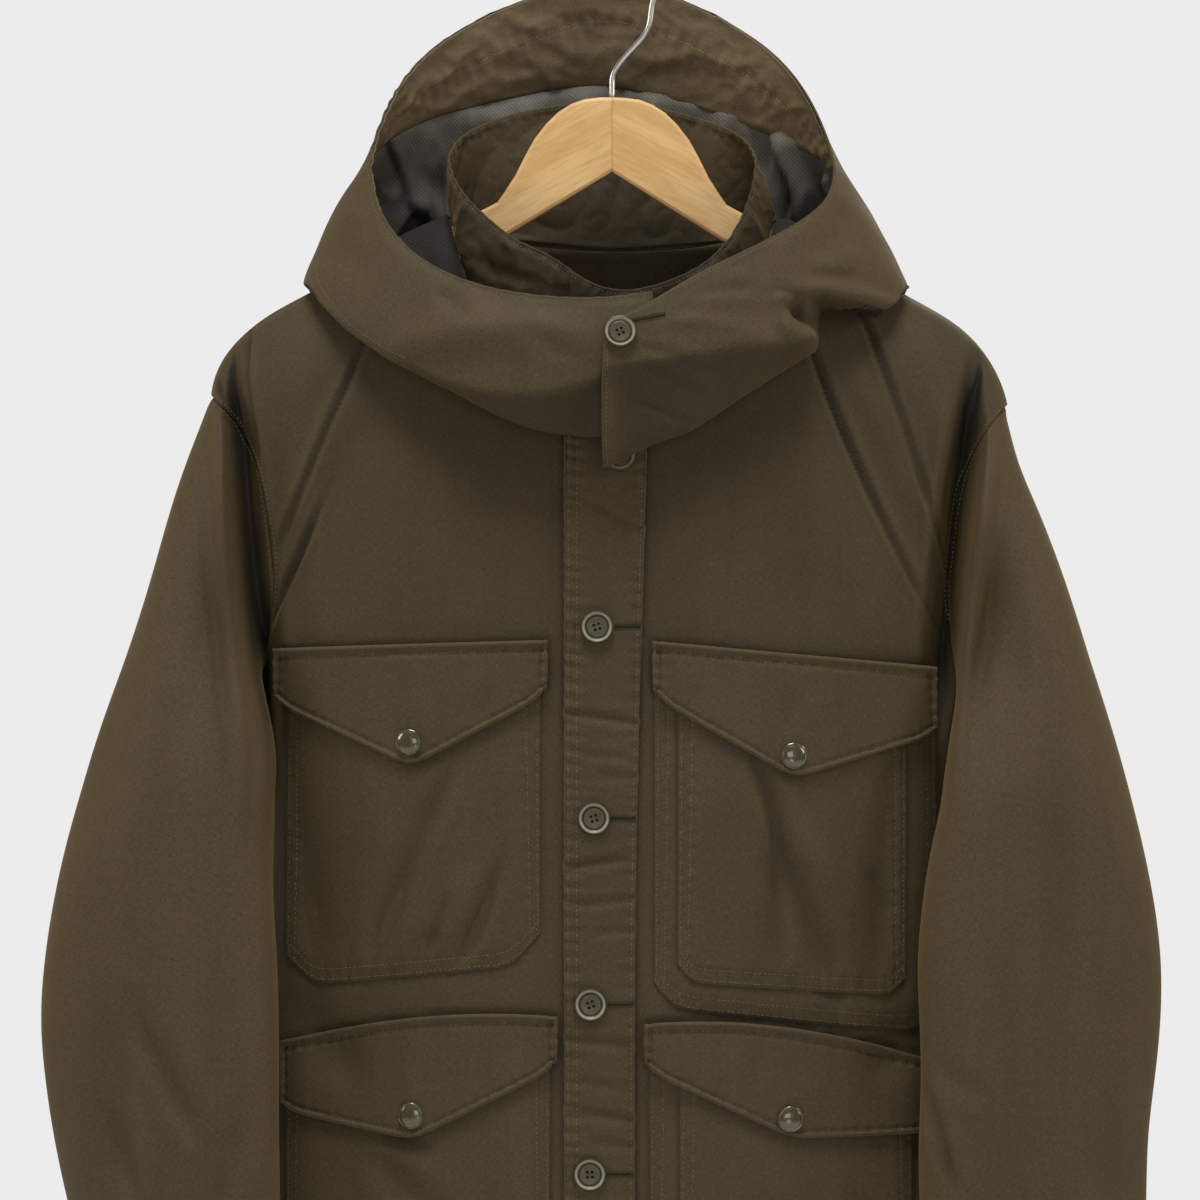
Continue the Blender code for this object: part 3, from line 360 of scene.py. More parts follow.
def fold_depth(x, z, folds, broad=False):
    """How deep the folds are at some places, and how much painted shade they get for the light they keep out.

    A fold holds both ends as x and height, its bow, half width and depth; ridges have a negative depth.
    """
    total, gloom = np.zeros(len(x)), np.zeros(len(x))
    for x0, z0, x1, z1, bow, width, depth in folds:
        run_x, run_z = x1 - x0, z1 - z0
        length = math.hypot(run_x, run_z)
        along = ((x - x0) * run_x + (z - z0) * run_z) / length ** 2
        aside = ((x - x0) * run_z - (z - z0) * run_x) / length
        ends = smooth(along / 0.35) * smooth((1 - along) / 0.35)
        uneven = 1 + 0.25 * np.sin(7 * along + 0.05 * x0)
        across = (aside + bow * 4 * along * (1 - along)) / (width * (0.6 + 0.4 * ends))
        shoulders = np.exp(-(across - 1.9) ** 2) + np.exp(-(across + 1.9) ** 2)
        total += depth * uneven * ends * (np.exp(-across ** 2) - 0.28 * shoulders)
        dark = np.exp(-across ** 4) if broad else np.exp(-(1.5 * across) ** 2)
        gloom += 0.5 * max(depth, 0) / width * uneven * ends * dark
    return total, gloom


def paint_shade(mesh, gloom):
    """Note painted shade on a piece where it lies in the dark, for its finish to paint into its colour."""
    if "painted_shade" not in mesh.attributes:
        mesh.attributes.new("painted_shade", "FLOAT", "POINT")
    layer = mesh.attributes["painted_shade"].data
    layer.foreach_set("value", np.clip(read(layer, "value") + gloom, 0, 1.4))


def press(mesh, folds, facing=FRONT, fade=5.0):
    """Press folds into the side of a piece that faces the front or the back, with painted shade in their
    creases.
    """
    places = points_of(mesh) / MM
    depth, gloom = fold_depth(places[:, 0], places[:, 2], folds)
    share = smooth(0.1 + 1.6 * facing * normals_of(mesh)[:, 1])
    if fade:
        share *= smooth(from_border(mesh) / fade)
    paint_shade(mesh, gloom * share)
    swell(mesh, -depth * share)


def dent(mesh, folds):
    """Push folds straight back into the front half, so that pieces joined at a seam stay joined, with painted
    shade in them.
    """
    places = points_of(mesh)
    depth, gloom = fold_depth(places[:, 0] / MM, places[:, 2] / MM, folds, broad=True)
    front = smooth(-places[:, 1] / (18 * MM))
    places[:, 1] += depth * front * MM
    paint_shade(mesh, 1.7 * gloom * front)
    reshape(mesh, places)


def ease(mesh, size, height, seed, fade=8.0):
    """Give a piece the gentle unevenness of hanging cloth; layers with one seed rise together."""
    start = Vector((seed * 3.7, seed * 1.3, seed * 2.1))
    lumps = np.array([noise.noise(Vector(place) / (size * MM) + start) for place in points_of(mesh)])
    if fade:
        lumps *= smooth(from_border(mesh) / fade)
    swell(mesh, lumps * height)


def nudge(mesh, moves, front=False):
    """Shift a piece near some places: x, height, reach, and how far to go in x, y and height."""
    places = points_of(mesh)
    shift = np.zeros_like(places)
    for x, z, reach, *way in moves:
        away = np.hypot(places[:, 0] / MM - x, places[:, 2] / MM - z) / reach
        shift += np.exp(-away ** 2)[:, None] * np.array(way) * MM
    places += shift * smooth(-places[:, 1] / (20 * MM))[:, None] if front else shift
    reshape(mesh, places)


def shade_beside(mesh, nodes, reach=2.2, gloom=0.8):
    """Paint shadow on a piece close along the outlines of the layers sewn on top of it."""
    spots = []
    for node in nodes:
        layer = outer_face(node, IN_FRONT)
        for edge in layer.edges:
            if edge.is_boundary:
                first, last = (vert.co.copy() for vert in edge.verts)
                steps = max(2, int(edge.calc_length() / MM))
                spots += [first.lerp(last, step / steps) for step in range(steps)]
        layer.free()
    tree = tree_of([(spot.x, 0, spot.z) for spot in spots])
    away = np.array([tree.find((vert.co.x, 0, vert.co.z))[2] for vert in mesh.vertices]) / MM
    paint_shade(mesh, gloom * np.exp(-(away / reach) ** 2))


def cut_edges(mesh, reach=12.0):
    """The cut edges of a piece between its corners, each as lines that run into the cloth from it."""
    bm = bmesh.new()
    bm.from_mesh(mesh)
    waiting = {edge for edge in bm.edges if edge.is_boundary}

    def follow(vert):
        run = [vert]
        while True:
            edge = next((edge for edge in run[-1].link_edges if edge in waiting), None)
            if edge is None:
                return run
            waiting.discard(edge)
            run.append(edge.other_vert(run[-1]))
            if len(run[-1].link_edges) == 2:
                return run

    def inward(vert):
        line = [vert.co.copy()]
        edge = next(edge for edge in vert.link_edges if not edge.is_boundary)
        length = 0
        while length < reach * MM:
            step = edge.other_vert(vert).co - vert.co
            length += step.length
            vert = edge.other_vert(vert)
            line.append(vert.co.copy())
            onward = [other for other in vert.link_edges if other != edge]
            edge = max(onward, key=lambda other: (other.other_vert(vert).co - vert.co).normalized().dot(step))
        return np.array(line)

    corners = [vert for vert in bm.verts if vert.is_boundary and len(vert.link_edges) == 2]
    runs = []
    for vert in corners:
        while any(edge in waiting for edge in vert.link_edges):
            runs.append(follow(vert))
    while waiting:
        runs.append(follow(next(edge for edge in bm.edges if edge in waiting).verts[0]))
    found = [[inward(vert) for vert in run if len(vert.link_edges) > 2] for run in runs]
    bm.free()
    return found


def edge_towards(edges, way):
    """The cut edge that lies furthest in one direction."""
    return max(edges, key=lambda lines: np.mean([line[0] for line in lines], axis=0) @ np.array(way))


def reach_of(line):
    """How far each point of a line is from its start."""
    return np.concatenate([[0], np.cumsum(np.linalg.norm(np.diff(line, axis=0), axis=1))])


def place_on(line, distance):
    """The place at a distance from the start of a line, or one for each of several distances."""
    reach = reach_of(line)
    return np.stack([np.interp(distance, reach, line[:, axis]) for axis in range(3)], axis=-1)


def row(lines, inset):
    """A route that keeps one distance in millimetres from a cut edge."""
    return np.array([place_on(line, inset * MM) for line in lines])


def rows_along(edges, *rows):
    """A route for each row: the way to its cut edge, and how far from that edge it runs."""
    return [row(edge_towards(edges, way), inset) for way, inset in rows]


def evenly(route, pitch):
    """Places at one spacing along a route, in metres."""
    return place_on(route, np.arange(pitch / 2, reach_of(route)[-1], pitch))


def surface(mesh):
    """A search tree of a piece, to lay routes and stitches on."""
    corners = [vert.co for vert in mesh.vertices]
    return BVHTree.FromPolygons(corners, [face.vertices for face in mesh.polygons])


def piece_of(name, mesh, slot, *finishes):
    """A piece of the object from a mesh. All pieces are in one body."""
    mesh.materials.clear()
    for finish in finishes:
        mesh.materials.append(finish)
    mesh.shade_smooth()
    piece = placed(name, mesh)
    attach(piece, "root")
    return piece


def thread(name, mesh, routes, finish=olive_thread, pitch=3.0, length=2.1, width=0.5, height=0.42,
           upright=False):
    """Stitches along routes on a piece: short rounded bars of thread, half sunk in the cloth."""
    bar = bmesh.new()
    bmesh.ops.create_uvsphere(bar, u_segments=6, v_segments=4, radius=0.5)
    shape = np.array([vert.co for vert in bar.verts])
    faces = [[vert.index for vert in face.verts] for face in bar.faces]
    bar.free()
    tree = surface(mesh)
    places, shells = [], []
    for route in routes:
        centres = evenly(route, pitch * MM) if len(route) > 1 else route
        if len(centres) < 2:
            continue
        for centre, along in zip(centres, np.gradient(centres, axis=0)):
            seat, normal = tree.find_nearest(Vector(centre))[:2]
            along = (Vector(along) - normal * normal.dot(Vector(along))).normalized()
            across = normal.cross(along)
            if upright:
                along, across = across, along
            frame_of_bar = np.array([along * length, across * width, normal * height]) * MM
            start = len(places) * len(shape)
            places.append(np.array(seat) + shape @ frame_of_bar)
            shells += [[number + start for number in face] for face in faces]
    stitches = bpy.data.meshes.new(name)
    stitches.from_pydata(np.concatenate(places).tolist(), [], shells)
    piece_of(name, stitches, "olive_shell", finish)


def lay_grain(mesh):
    """A UV map in metres, along and across the cloth as the piece hangs."""
    layer = mesh.uv_layers.new(name="grain")
    at = points_of(mesh)[read(mesh.loops, "vertex_index", kind=int)]
    sizes = read(mesh.polygons, "loop_total", kind=int)
    towards = np.repeat(np.abs(read(mesh.polygons, "normal", 3)), sizes, axis=0)
    level = towards[:, 2] > np.maximum(towards[:, 0], towards[:, 1])
    sideways = (towards[:, 0] > towards[:, 1]) & ~level
    across = np.where(sideways, at[:, 1], at[:, 0])
    along = np.where(level, at[:, 1], at[:, 2])
    layer.data.foreach_set("uv", np.stack([across, along], axis=1).ravel())


def sew(node, mesh, thickness, finish=shell_cloth, inside=None, slot="olive_shell"):
    """A finished piece of cloth from its outer face, in place of its CAD node."""
    lay_grain(mesh)
    piece = piece_of(f"{node}_cloth", mesh, slot, *((finish, inside) if inside else (finish,)))
    wall = piece.modifiers.new("wall", "SOLIDIFY")
    wall.thickness = thickness * MM
    wall.offset = -1
    wall.use_even_offset = False
    wall.material_offset = 1 if inside else 0
    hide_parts(node)
    return piece


FRONT_FOLDS = (
    # x, height, x, height, bow, half width, depth
    (-138, -215, -220, -412, 0, 2.4, 2.8),
    (-166, -322, -224, -450, 0, 2.4, 2.8),
    (-147, -255, -198, -372, 0, 10, -2.5),
    (104, -200, 208, -440, -7, 2.5, 3.0),
    (134, -180, 208, -405, 5, 2.3, 2.6),
    (140, -250, 196, -372, 2, 9, -2.2),
    (-226, -205, -213, -352, 0, 2.2, 3.6),
    (-70, -300, -150, -470, 10, 26, 1.6),
    (70, -310, 130, -440, -8, 26, 1.4),
    (-205, -640, -150, -700, 4, 14, 2.5),
    (205, -650, 150, -700, -4, 14, 2.5),
    (-190, -880, -120, -960, 0, 20, 3.0),
    (60, -860, 90, -990, 0, 22, 2.5),
    (200, -760, 160, -960, 5, 20, 3.5),
)
# The armhole lies in a deep valley, and the shoulder points stand out over it.
ARMHOLE_FOLDS = (
    (-231, -236, -204, -530, -1, 7.6, 20),
    (-241, -262, -221, -560, -1, 5, -9),
    (-231, -246, -224, -300, 0, 2.2, 2.0),
    (-240, -262, -232, -300, 0, 2.0, 1.6),
    (229, -226, 194, -510, -4, 8, 20),
    (237, -262, 202, -560, -3, 5.5, -9),
    (229, -250, 222, -300, 0, 2.2, 2.0),
)
SHOULDER_POINTS = (
    # x, height, reach, x shift, y shift, height shift
    (-226, -268, 30, -4, 0, 1),
    (228, -270, 30, -1.5, 0, 0),
)
FRONT_EASE = {"size": 90, "height": 2.0, "seed": 1}
SHELL_THICKNESS, HEM, SIDE_SEAM = 1.4, 25, 2.6
for side in ("right", "left"):
    mesh = rounded(outer_face(f"front_{side}", IN_FRONT), rounds=4)
    press(mesh, FRONT_FOLDS, fade=4)
    dent(mesh, ARMHOLE_FOLDS)
    nudge(mesh, SHOULDER_POINTS)
    ease(mesh, **FRONT_EASE)
    # Painted shade: the hood keeps some of the light off the chest, so the colour darkens towards the top.
    paint_shade(mesh, 0.32 * smooth((points_of(mesh)[:, 2] / MM + 520) / 250))
    # Painted shadow along the placket, the flaps and the pockets that lie over the front.
    shade_beside(mesh, ["placket"] + [f"{name}_flap_{side}" for name in ("chest", "lower")])
    shade_beside(mesh, [f"{name}_pocket_{side}" for name in ("chest", "lower")], reach=2.0, gloom=0.35)
    outwards = RIGHT if side == "right" else LEFT
    rows = rows_along(cut_edges(mesh, reach=30), (DOWN, HEM), (outwards, SIDE_SEAM))
    sew(f"front_{side}", mesh, SHELL_THICKNESS)
    thread(f"front_{side}_stitches", mesh, rows)

# -------------------- back
# One panel of shell cloth, whole from side seam to side seam and hemmed as the fronts are. It falls
# in soft folds towards the hem.
BACK_FOLDS = (
    (-160, -290, -214, -440, -6, 8, 4.0),
    (150, -285, 214, -430, 6, 8, 4.0),
    (-120, -310, -196, -520, -10, 10, 4.0),
    (105, -320, 190, -540, 8, 10, 4.0),
    (-70, -540, -95, -1040, 6, 17, 5.0),
    (14, -600, 35, -1080, -5, 20, 4.5),
    (104, -500, 140, -1040, 7, 16, 5.5),
    (-165, -580, -180, -1030, 4, 13, 4.5),
    (-30, -340, -48, -620, 5, 15, 2.5),
    (60, -300, 78, -560, -5, 14, 2.5),
    (-60, -215, 50, -222, 6, 10, 1.8),
)
mesh = rounded(outer_face("back", (0, FAR, -400)), rounds=3)
press(mesh, BACK_FOLDS, BACK)
nudge(mesh, SHOULDER_POINTS)
ease(mesh, size=110, height=2.5, seed=2)
rows = rows_along(cut_edges(mesh, reach=30), (DOWN, HEM))
back = sew("back", mesh, SHELL_THICKNESS)
thread("back_stitches", mesh, rows)

# -------------------- sleeves
# Each sleeve is one tube of shell cloth, set into the armhole with a topstitched seam and hemmed at
# the cuff. Its front falls in a soft ridge beside the armhole, with a deep valley between.
SLEEVE_FRONTS = {
    "right": (
        (-309, -600, -290, -780, 3, 14, 4),
        (-296, -625, -232, -742, 0, 7, 3.5),
        (-312, -690, -272, -775, 0, 8, 3),
        (-219, -700, -240, -775, 0, 8, 3),
        (-232, -272, -224, -306, 2, 3, 1.6),
        (-243, -270, -230, -300, -2, 3, 1.4),
        (-300, -400, -325, -560, 5, 20, 3),
        (-280, -800, -230, -840, 3, 14, 4),
    ),
    "left": (
        (238, -440, 262, -800, 3, 22, 3.5),
        (183, -684, 205, -762, 0, 4, 4.0),
        (186, -672, 228, -700, -2, 6, 1.8),
        (292, -600, 300, -820, 2, 20, 2.5),
        (232, -270, 224, -300, -2, 3, 1.5),
        (240, -780, 300, -830, 3, 14, 4),
    ),
}
UNDERARM_FULLNESS = (-205, -480, 50, 4, 0, 0)
ARMHOLE_SEAM = 3
# The folds behind the left sleeve; the right one has them mirrored.
SLEEVE_BACK = (
    (240, -330, 222, -470, 0, 10, 6),
    (250, -520, 330, -600, 8, 12, 6),
    (230, -590, 335, -640, -6, 12, 7),
    (225, -650, 320, -690, 5, 11, 5),
    (290, -420, 300, -560, -4, 16, 4),
    (270, -760, 250, -880, 3, 14, 4),
)
for side, sign in (("right", -1), ("left", 1)):
    mesh = rounded(outer_face(f"sleeve_{side}", (sign * FAR, 0, -600)), rounds=3)
    press(mesh, SLEEVE_FRONTS[side], fade=4)
    dent(mesh, ARMHOLE_FOLDS)
    press(mesh, [(sign * x0, z0, sign * x1, z1, *rest) for x0, z0, x1, z1, *rest in SLEEVE_BACK], BACK)
    nudge(mesh, SHOULDER_POINTS + ((UNDERARM_FULLNESS,) if side == "right" else ()))
    ease(mesh, size=100, height=2.5, seed=3)
    rows = rows_along(cut_edges(mesh, reach=30), (UP, ARMHOLE_SEAM), (DOWN, HEM))
    sleeve = sew(f"sleeve_{side}", mesh, SHELL_THICKNESS)
    thread(f"sleeve_{side}_stitches", mesh, rows)

# -------------------- collar
# A stand-up collar of two layers inside the hood, its ends lapped at the throat. Both its long edges
# are topstitched, which draws them in.
COLLAR_THICKNESS = 1.3
COLLAR_ROWS = ((UP, 2.5), ((0, 0.2, -1), 3))
COLLAR_LIFT = ((-34, -206, 26, 0, 0, 9),)
COLLAR_FOLDS = (
    (-70, -150, -50, -200, 2, 4, 1.5),
    (-84, -180, -66, -214, 0, 3, 1.6),
    (20, -135, 60, -190, 2, 5, 1.4),
    (-95, -190, -40, -215, 0, 4, 1.6),
    (-60, -178, -20, -214, 2, 4, 1.2),
)


def crumple(mesh, size, height, seed, fade=5.0, squeeze=(1, 1, 1)):
    """Push a piece out along its normals in sharp uneven creases, closer along a squeezed direction."""
    start = Vector((seed * 2.3, seed * 4.1, seed * 1.9))
    spread = points_of(mesh) * np.array(squeeze) / (size * MM)
    rise = np.array([1 - 2.2 * abs(noise.noise(Vector(place) + start)) for place in spread])
    swell(mesh, np.clip(rise, 0, 1) ** 1.5 * smooth(from_border(mesh) / fade) * height)


def draw_in(mesh, routes, groove, pucker, spread=5, pitch=8):
    """Sink stitched rows into the cloth and let the cloth gather along them."""
    places, normals = points_of(mesh), normals_of(mesh)
    for route in routes:
        tree = tree_of(evenly(route, MM))
        found = [tree.find(place)[1:] for place in places]
        along = np.array([number for number, _ in found])
        away = np.array([distance for _, distance in found]) / MM
        wave = np.sin(math.tau * along / pitch + 2 * np.sin(along / 31) + np.sin(along / 7))
        depth = groove * np.exp(-(away / 1.4) ** 2) + pucker * wave * np.exp(-(away / spread) ** 2)
        places -= normals * (depth * MM)[:, None]
    reshape(mesh, places)


def other_side(mesh, thickness):
    """The far side of a wall of cloth, to sew on."""
    far = mesh.copy()
    swell(far, -thickness)
    far.flip_normals()
    return far


mesh = rounded(outer_face("collar", (0, -FAR, -250)), rounds=4)
nudge(mesh, COLLAR_LIFT, front=True)
press(mesh, COLLAR_FOLDS)
# Painted shade: inside the hood it gets darker downwards and to the front.
places = points_of(mesh) / MM
paint_shade(mesh, 0.1 + 0.45 * smooth((-118 - places[:, 2]) / 45) + 0.15 * smooth(-places[:, 1] / 20))
crumple(mesh, size=30, height=2.4, seed=4, fade=6, squeeze=(1, 1, 0.7))
crumple(mesh, size=12, height=0.6, seed=14, fade=4)
rows = rows_along(cut_edges(mesh), *COLLAR_ROWS)
draw_in(mesh, rows, groove=0.3, pucker=0.4, pitch=9)
thread("collar_stitches", mesh, rows, pitch=2.6, length=1.8)
inner_side = other_side(mesh, COLLAR_THICKNESS)
thread("collar_inner_stitches", inner_side, rows, pitch=2.6, length=1.8)
collar = sew("collar", mesh, COLLAR_THICKNESS)

# -------------------- hood
# Two side panels and a centre panel, turned back over the shoulders. The rim is topstitched, and a
# second row holds the facing inside. The left end runs out in a buttoned chin tab.
HOOD_FOLDS = (
    (-150, -256, 10, -254, 14, 12, -4),
    (-60, -240, -20, -262, 2, 6, 1.4),
    (-110, -215, -80, -240, 2, 5, 1.2),
    (98, -222, 134, -241, 0, 6.5, 9),
    (96, -214, 116, -222, 0, 3, 3),
    (108, -206, 106, -250, -3, 5, -3.5),
    (106, -213, 176, -214, -3, 5, -4),
    (106, -245, 128, -246, 0, 3.5, -2.5),
    (150, -186, 118, -204, 2, 7, -3),
    (12, -250, 74, -270, 0, 3, 1.2),
    (12, -262, 66, -286, 2, 3, 1.4),
    (8, -282, 50, -300, 0, 3, 1.2),
    (46, -222, 92, -216, 3, 4, 1.4),
    (30, -238, 80, -240, 2, 4, -1.4),
    (50, -245, 105, -258, 5, 9, -2.5),
    (150, -150, 120, -200, 3, 12, 3),
    (-170, -160, -140, -215, -4, 12, 3),
)
HOOD_BACK_FOLDS = (
    (-90, -60, -110, -250, 6, 12, 5),
    (80, -60, 105, -250, -5, 12, 5),
    (-40, -90, -20, -280, 4, 16, 6),
    (40, -120, 30, -300, -4, 14, 5),
    (-80, -180, 70, -200, 10, 14, 4),
)
HOOD_TURNS = (
    # x, height, x, height, bow, how soon, how far, painted shade
    (-138, -250, 4, -266, -22, 10, 13, 0.55),
    (-12, -266, 132, -244, 0, 16, 15, 0.5),
    (117, -217, 205, -226, -1, 2.2, 44, 0.5),
)
HOOD_TOP = (-2, -30, 55, 0, 0, 14)
HOOD_SHIFTS = ((172, -214, 24, 6, 0, -6), (22, -312, 20, 0, 0, 4), HOOD_TOP)
RIM_ROW, FACING_ROW, FACING_ROW_START = 2.8, 60, 122
SEAM_ROWS = (2, 8)
BACKWARDS, TAB_END = (0, 1, 0), (-1, -0.5, 0)
GREY_TWILL = {"roughness": 0.85, "tint": (0.8, 0.8, 0.7), "twill": 230}
# A much darker copy of the grey lining, painted shade for the inner side of the hood's panels, which lies in
# the dark.
painted_shade_lining = woven("painted_shade_lining", (0.026, 0.024, 0.020), (0.012, 0.0115, 0.009), sheen=0.05, **GREY_TWILL)


def tuck(mesh, lines):
    """Turn the front of a piece under along lines.

    A line holds both ends, its bow, how soon and how far the cloth turns, and how much painted shade it gets.
    """
    places = points_of(mesh)
    x, z = places[:, 0] / MM, places[:, 2] / MM
    for x0, z0, x1, z1, bow, reach, depth, gloom in lines:
        along = (x - x0) / (x1 - x0)
        below = z0 + (z1 - z0) * along + bow * 4 * along * (1 - along) - z
        share = smooth(along / 0.14) * smooth((1 - along) / 0.14) * smooth(-places[:, 1] / (60 * MM))
        paint_shade(mesh, gloom * share * smooth(below / 5 + 0.4))
        places[:, 1] += depth * (1 - np.exp(-np.clip(below, 0, None) / reach)) * share * MM
    reshape(mesh, places)


hood_faces = []
for node, seen_from, seams in (("hood_side_right", (-FAR, 0, -200), [BACKWARDS]),
                               ("hood_side_left", (FAR, 0, -200), [BACKWARDS]),
                               ("hood_centre", (0, FAR, -200), [LEFT, RIGHT])):
    mesh = rounded(outer_face(node, seen_from), rounds=3)
    press(mesh, HOOD_FOLDS, fade=0 if node == "hood_side_right" else 5)
    press(mesh, HOOD_BACK_FOLDS, BACK)
    if node != "hood_centre":
        tuck(mesh, HOOD_TURNS if node == "hood_side_right" else HOOD_TURNS[1:])
    nudge(mesh, HOOD_SHIFTS)
    ease(mesh, size=60, height=2.2, seed=5)
    ease(mesh, size=24, height=0.7, seed=6)
    edges = cut_edges(mesh, reach=70)
    rim = edge_towards(edges, UP)
    facing_row = row(rim, FACING_ROW)
    facing_row = facing_row[np.abs(facing_row[:, 0]) > FACING_ROW_START * MM]
    rows = [row(rim, RIM_ROW), facing_row]
    for seam in seams:
        rows += rows_along(edges, *((seam, inset) for inset in SEAM_ROWS))
    if node == "hood_side_left":
        tab = mesh
        rows += rows_along(edges, (TAB_END, RIM_ROW))
    draw_in(mesh, rows[:1], groove=0.3, pucker=0.5, spread=6, pitch=11)
    hood_faces.append(surface(mesh))
    piece = sew(node, mesh, thickness=1.2, inside=painted_shade_lining)
    thread(f"{node}_stitches", mesh, rows, pitch=2.8, length=1.9)

# -------------------- hood facing and lining
# A band of olive-brown cloth inside the rim, crinkled where its two stitched rows draw it in, and
# below it a grey twill lining that shows at the sides and the back.
HEAD = (-6, 20, -120)  # from here, in the hood's hollow, its inner layers are seen


def keep_under(mesh, covers, gap, sewn=()):
    """Keep a layer at least a gap inside the layers over it, and just at that gap along a sewn edge."""
    places = points_of(mesh)
    tree = tree_of(sewn)
    for number, place in enumerate(places):
        found = [cover.find_nearest(place) for cover in covers]
        seat, normal, _, away = min(found, key=lambda hit: hit[3])
        rise = (Vector(place) - seat).dot(normal) + gap * MM
        hold = math.exp(-(tree.find(place)[2] / (9 * MM)) ** 2) if rise < 0 and sewn else 1
        if away < 15 * MM and (rise > 0 or sewn):
            places[number] -= normal * rise * hold
    reshape(mesh, places)


def onto(tree, route):
    """Drop a route given as x and height, in millimetres, onto a piece from the front."""
    found = [tree.ray_cast(Vector((x, -500, z)) * MM, Vector((0, 1, 0)))[0] for x, z in route]
    return np.array([place for place in found if place is not None])


facing_cloth = woven("facing_cloth", (0.158, 0.110, 0.060), (0.116, 0.088, 0.047), roughness=0.75,
                     sheen=0.15, tint=(0.62, 0.45, 0.2), crinkle=1.2)
INNER_TURN = ((112, -212, 200, -221, -1, 2, 48, 0.5),)
FACING_SAG = ((30, -100, 45, 0, 0, -5), (78, -112, 30, 0, 0, -7), (108, -124, 32, 0, 0, -12), HOOD_TOP)
FACING_ROWS, FACING_STITCHES_END = ((UP, 27), (DOWN, 2)), -190
INSIDE_FOLDS = [(*fold[:6], -max(fold[6], 0)) for fold in HOOD_FOLDS]
mesh = rounded(outer_face("hood_facing", HEAD), rounds=4)
press(mesh, INSIDE_FOLDS, BACK, fade=0)
nudge(mesh, FACING_SAG)
crumple(mesh, size=34, height=3, seed=7, squeeze=(0.7, 1, 1.3))
crumple(mesh, size=13, height=0.9, seed=8, fade=4, squeeze=(0.8, 1, 1.2))
tuck(mesh, INNER_TURN)
keep_under(mesh, hood_faces, gap=2.2, sewn=[line[0] for line in edge_towards(cut_edges(mesh), UP)])
rows = rows_along(cut_edges(mesh, reach=40), *FACING_ROWS)
draw_in(mesh, rows, groove=0.3, pucker=0.7, spread=7, pitch=10)
facing = sew("hood_facing", mesh, thickness=0.9, finish=facing_cloth, slot="olive_facing")
rows = [line[line[:, 2] > FACING_STITCHES_END * MM] for line in rows]
pale_thread = twisted("pale_thread", (0.24, 0.20, 0.10))
thread("hood_facing_stitches", mesh, rows, pale_thread, pitch=2.8, length=2.0, width=0.6)

lining_cloth = woven("lining_cloth", (0.15, 0.143, 0.12), (0.085, 0.081, 0.067), sheen=0.1, **GREY_TWILL)
LINING_SEAM_ROWS, LINING_SEAM_HEIGHTS = (-86.5, -78.5), range(-104, -146, -3)
LINING_SHADOWS = (
    (-150, -90, -122, -166, 0, 5, 12),
    (-140, -144, -80, -178, -3, 5, 12),
    (-130, -146, -92, -210, 2, 9, 22),
    (-110, -120, -104, -170, 0, 4, 7),
    (118, -130, 100, -190, 0, 6, 12),
)
mesh = rounded(outer_face("hood_lining", HEAD), rounds=4)
press(mesh, INSIDE_FOLDS, BACK, fade=0)
nudge(mesh, ((176, -220, 26, -9, 0, 5), HOOD_TOP))
crumple(mesh, size=44, height=11, seed=12, fade=10, squeeze=(1.3, 1, 0.5))
crumple(mesh, size=24, height=3, seed=10, fade=8, squeeze=(1.2, 1, 0.6))
tuck(mesh, INNER_TURN)
keep_under(mesh, hood_faces, gap=3.0)
places = points_of(mesh) / MM
# Painted shadows in the lining's folds.
paint_shade(mesh, fold_depth(places[:, 0], places[:, 2], LINING_SHADOWS)[1])
# Painted shade: low on the right it lies deep in the hood.
paint_shade(mesh, 0.8 * smooth((-140 - places[:, 2]) / 35) * (places[:, 0] < 0))
lining = sew("hood_lining", mesh, thickness=0.9, finish=lining_cloth, slot="grey_lining")
lining_face = surface(mesh)
rows = [onto(lining_face, [(x, z) for z in LINING_SEAM_HEIGHTS]) for x in LINING_SEAM_ROWS]
# Dark thread, also laid in the buttonholes' slits as painted shade.
dark_thread_and_slit_shade = twisted("dark_thread_and_slit_shade", (0.018, 0.016, 0.010))
thread("hood_lining_stitches", mesh, rows, dark_thread_and_slit_shade, pitch=2.4, length=1.8)

# -------------------- placket
# A strip of two layers on the left front, over the right one: two rows along its free edge and one
# along its seam. The buttonholes pull small wrinkles across it.
PLACKET_ROWS = ((RIGHT, 2.4), (RIGHT, 7.5), (LEFT, 2.2))
PLACKET_FOLDS = (
    (-24, -336, 34, -366, -3, 2.9, 0.9),
    (-10, -352, 36, -372, 0, 2.9, 0.7),
    (-44, -470, 30, -480, 2, 3.1, 1.4),
    (-36, -492, 24, -497, -2, 2.6, 0.7),
    (-20, -508, 30, -512, 1, 3.5, 0.6),
    (-46, -568, 22, -557, 2, 3.1, 1.4),
    (-40, -586, 26, -578, -2, 2.9, 0.9),
    (-20, -604, 30, -600, 1, 2.9, 0.8),
    (-44, -664, 30, -675, 2, 3.3, 1.3),
    (-36, -686, 20, -696, -2, 2.9, 0.9),
    (-48, -708, 30, -718, 2, 3.1, 1.2),
    (-26, -726, 34, -736, 2, 2.9, 0.8),
    (-48, -800, 30, -806, -2, 2.9, 1.1),
    (-40, -826, 20, -820, 2, 2.9, 0.9),
    (-46, -875, 26, -886, 2, 2.9, 1.1),
)


def sewn_on(node, rounds=3, crisp=True):
    """A layer sewn on the fronts, which takes part in their folds."""
    layer = rounded(outer_face(node, IN_FRONT), rounds, crisp)
    press(layer, FRONT_FOLDS, fade=0)
    ease(layer, fade=0, **FRONT_EASE)
    return layer


mesh = sewn_on("placket", rounds=5, crisp=False)
press(mesh, PLACKET_FOLDS, fade=2)
rows = rows_along(cut_edges(mesh), *PLACKET_ROWS)
draw_in(mesh, rows, groove=0.5, pucker=0.4)
placket = sew("placket", mesh, thickness=2.2)
thread("placket_stitches", mesh, rows)

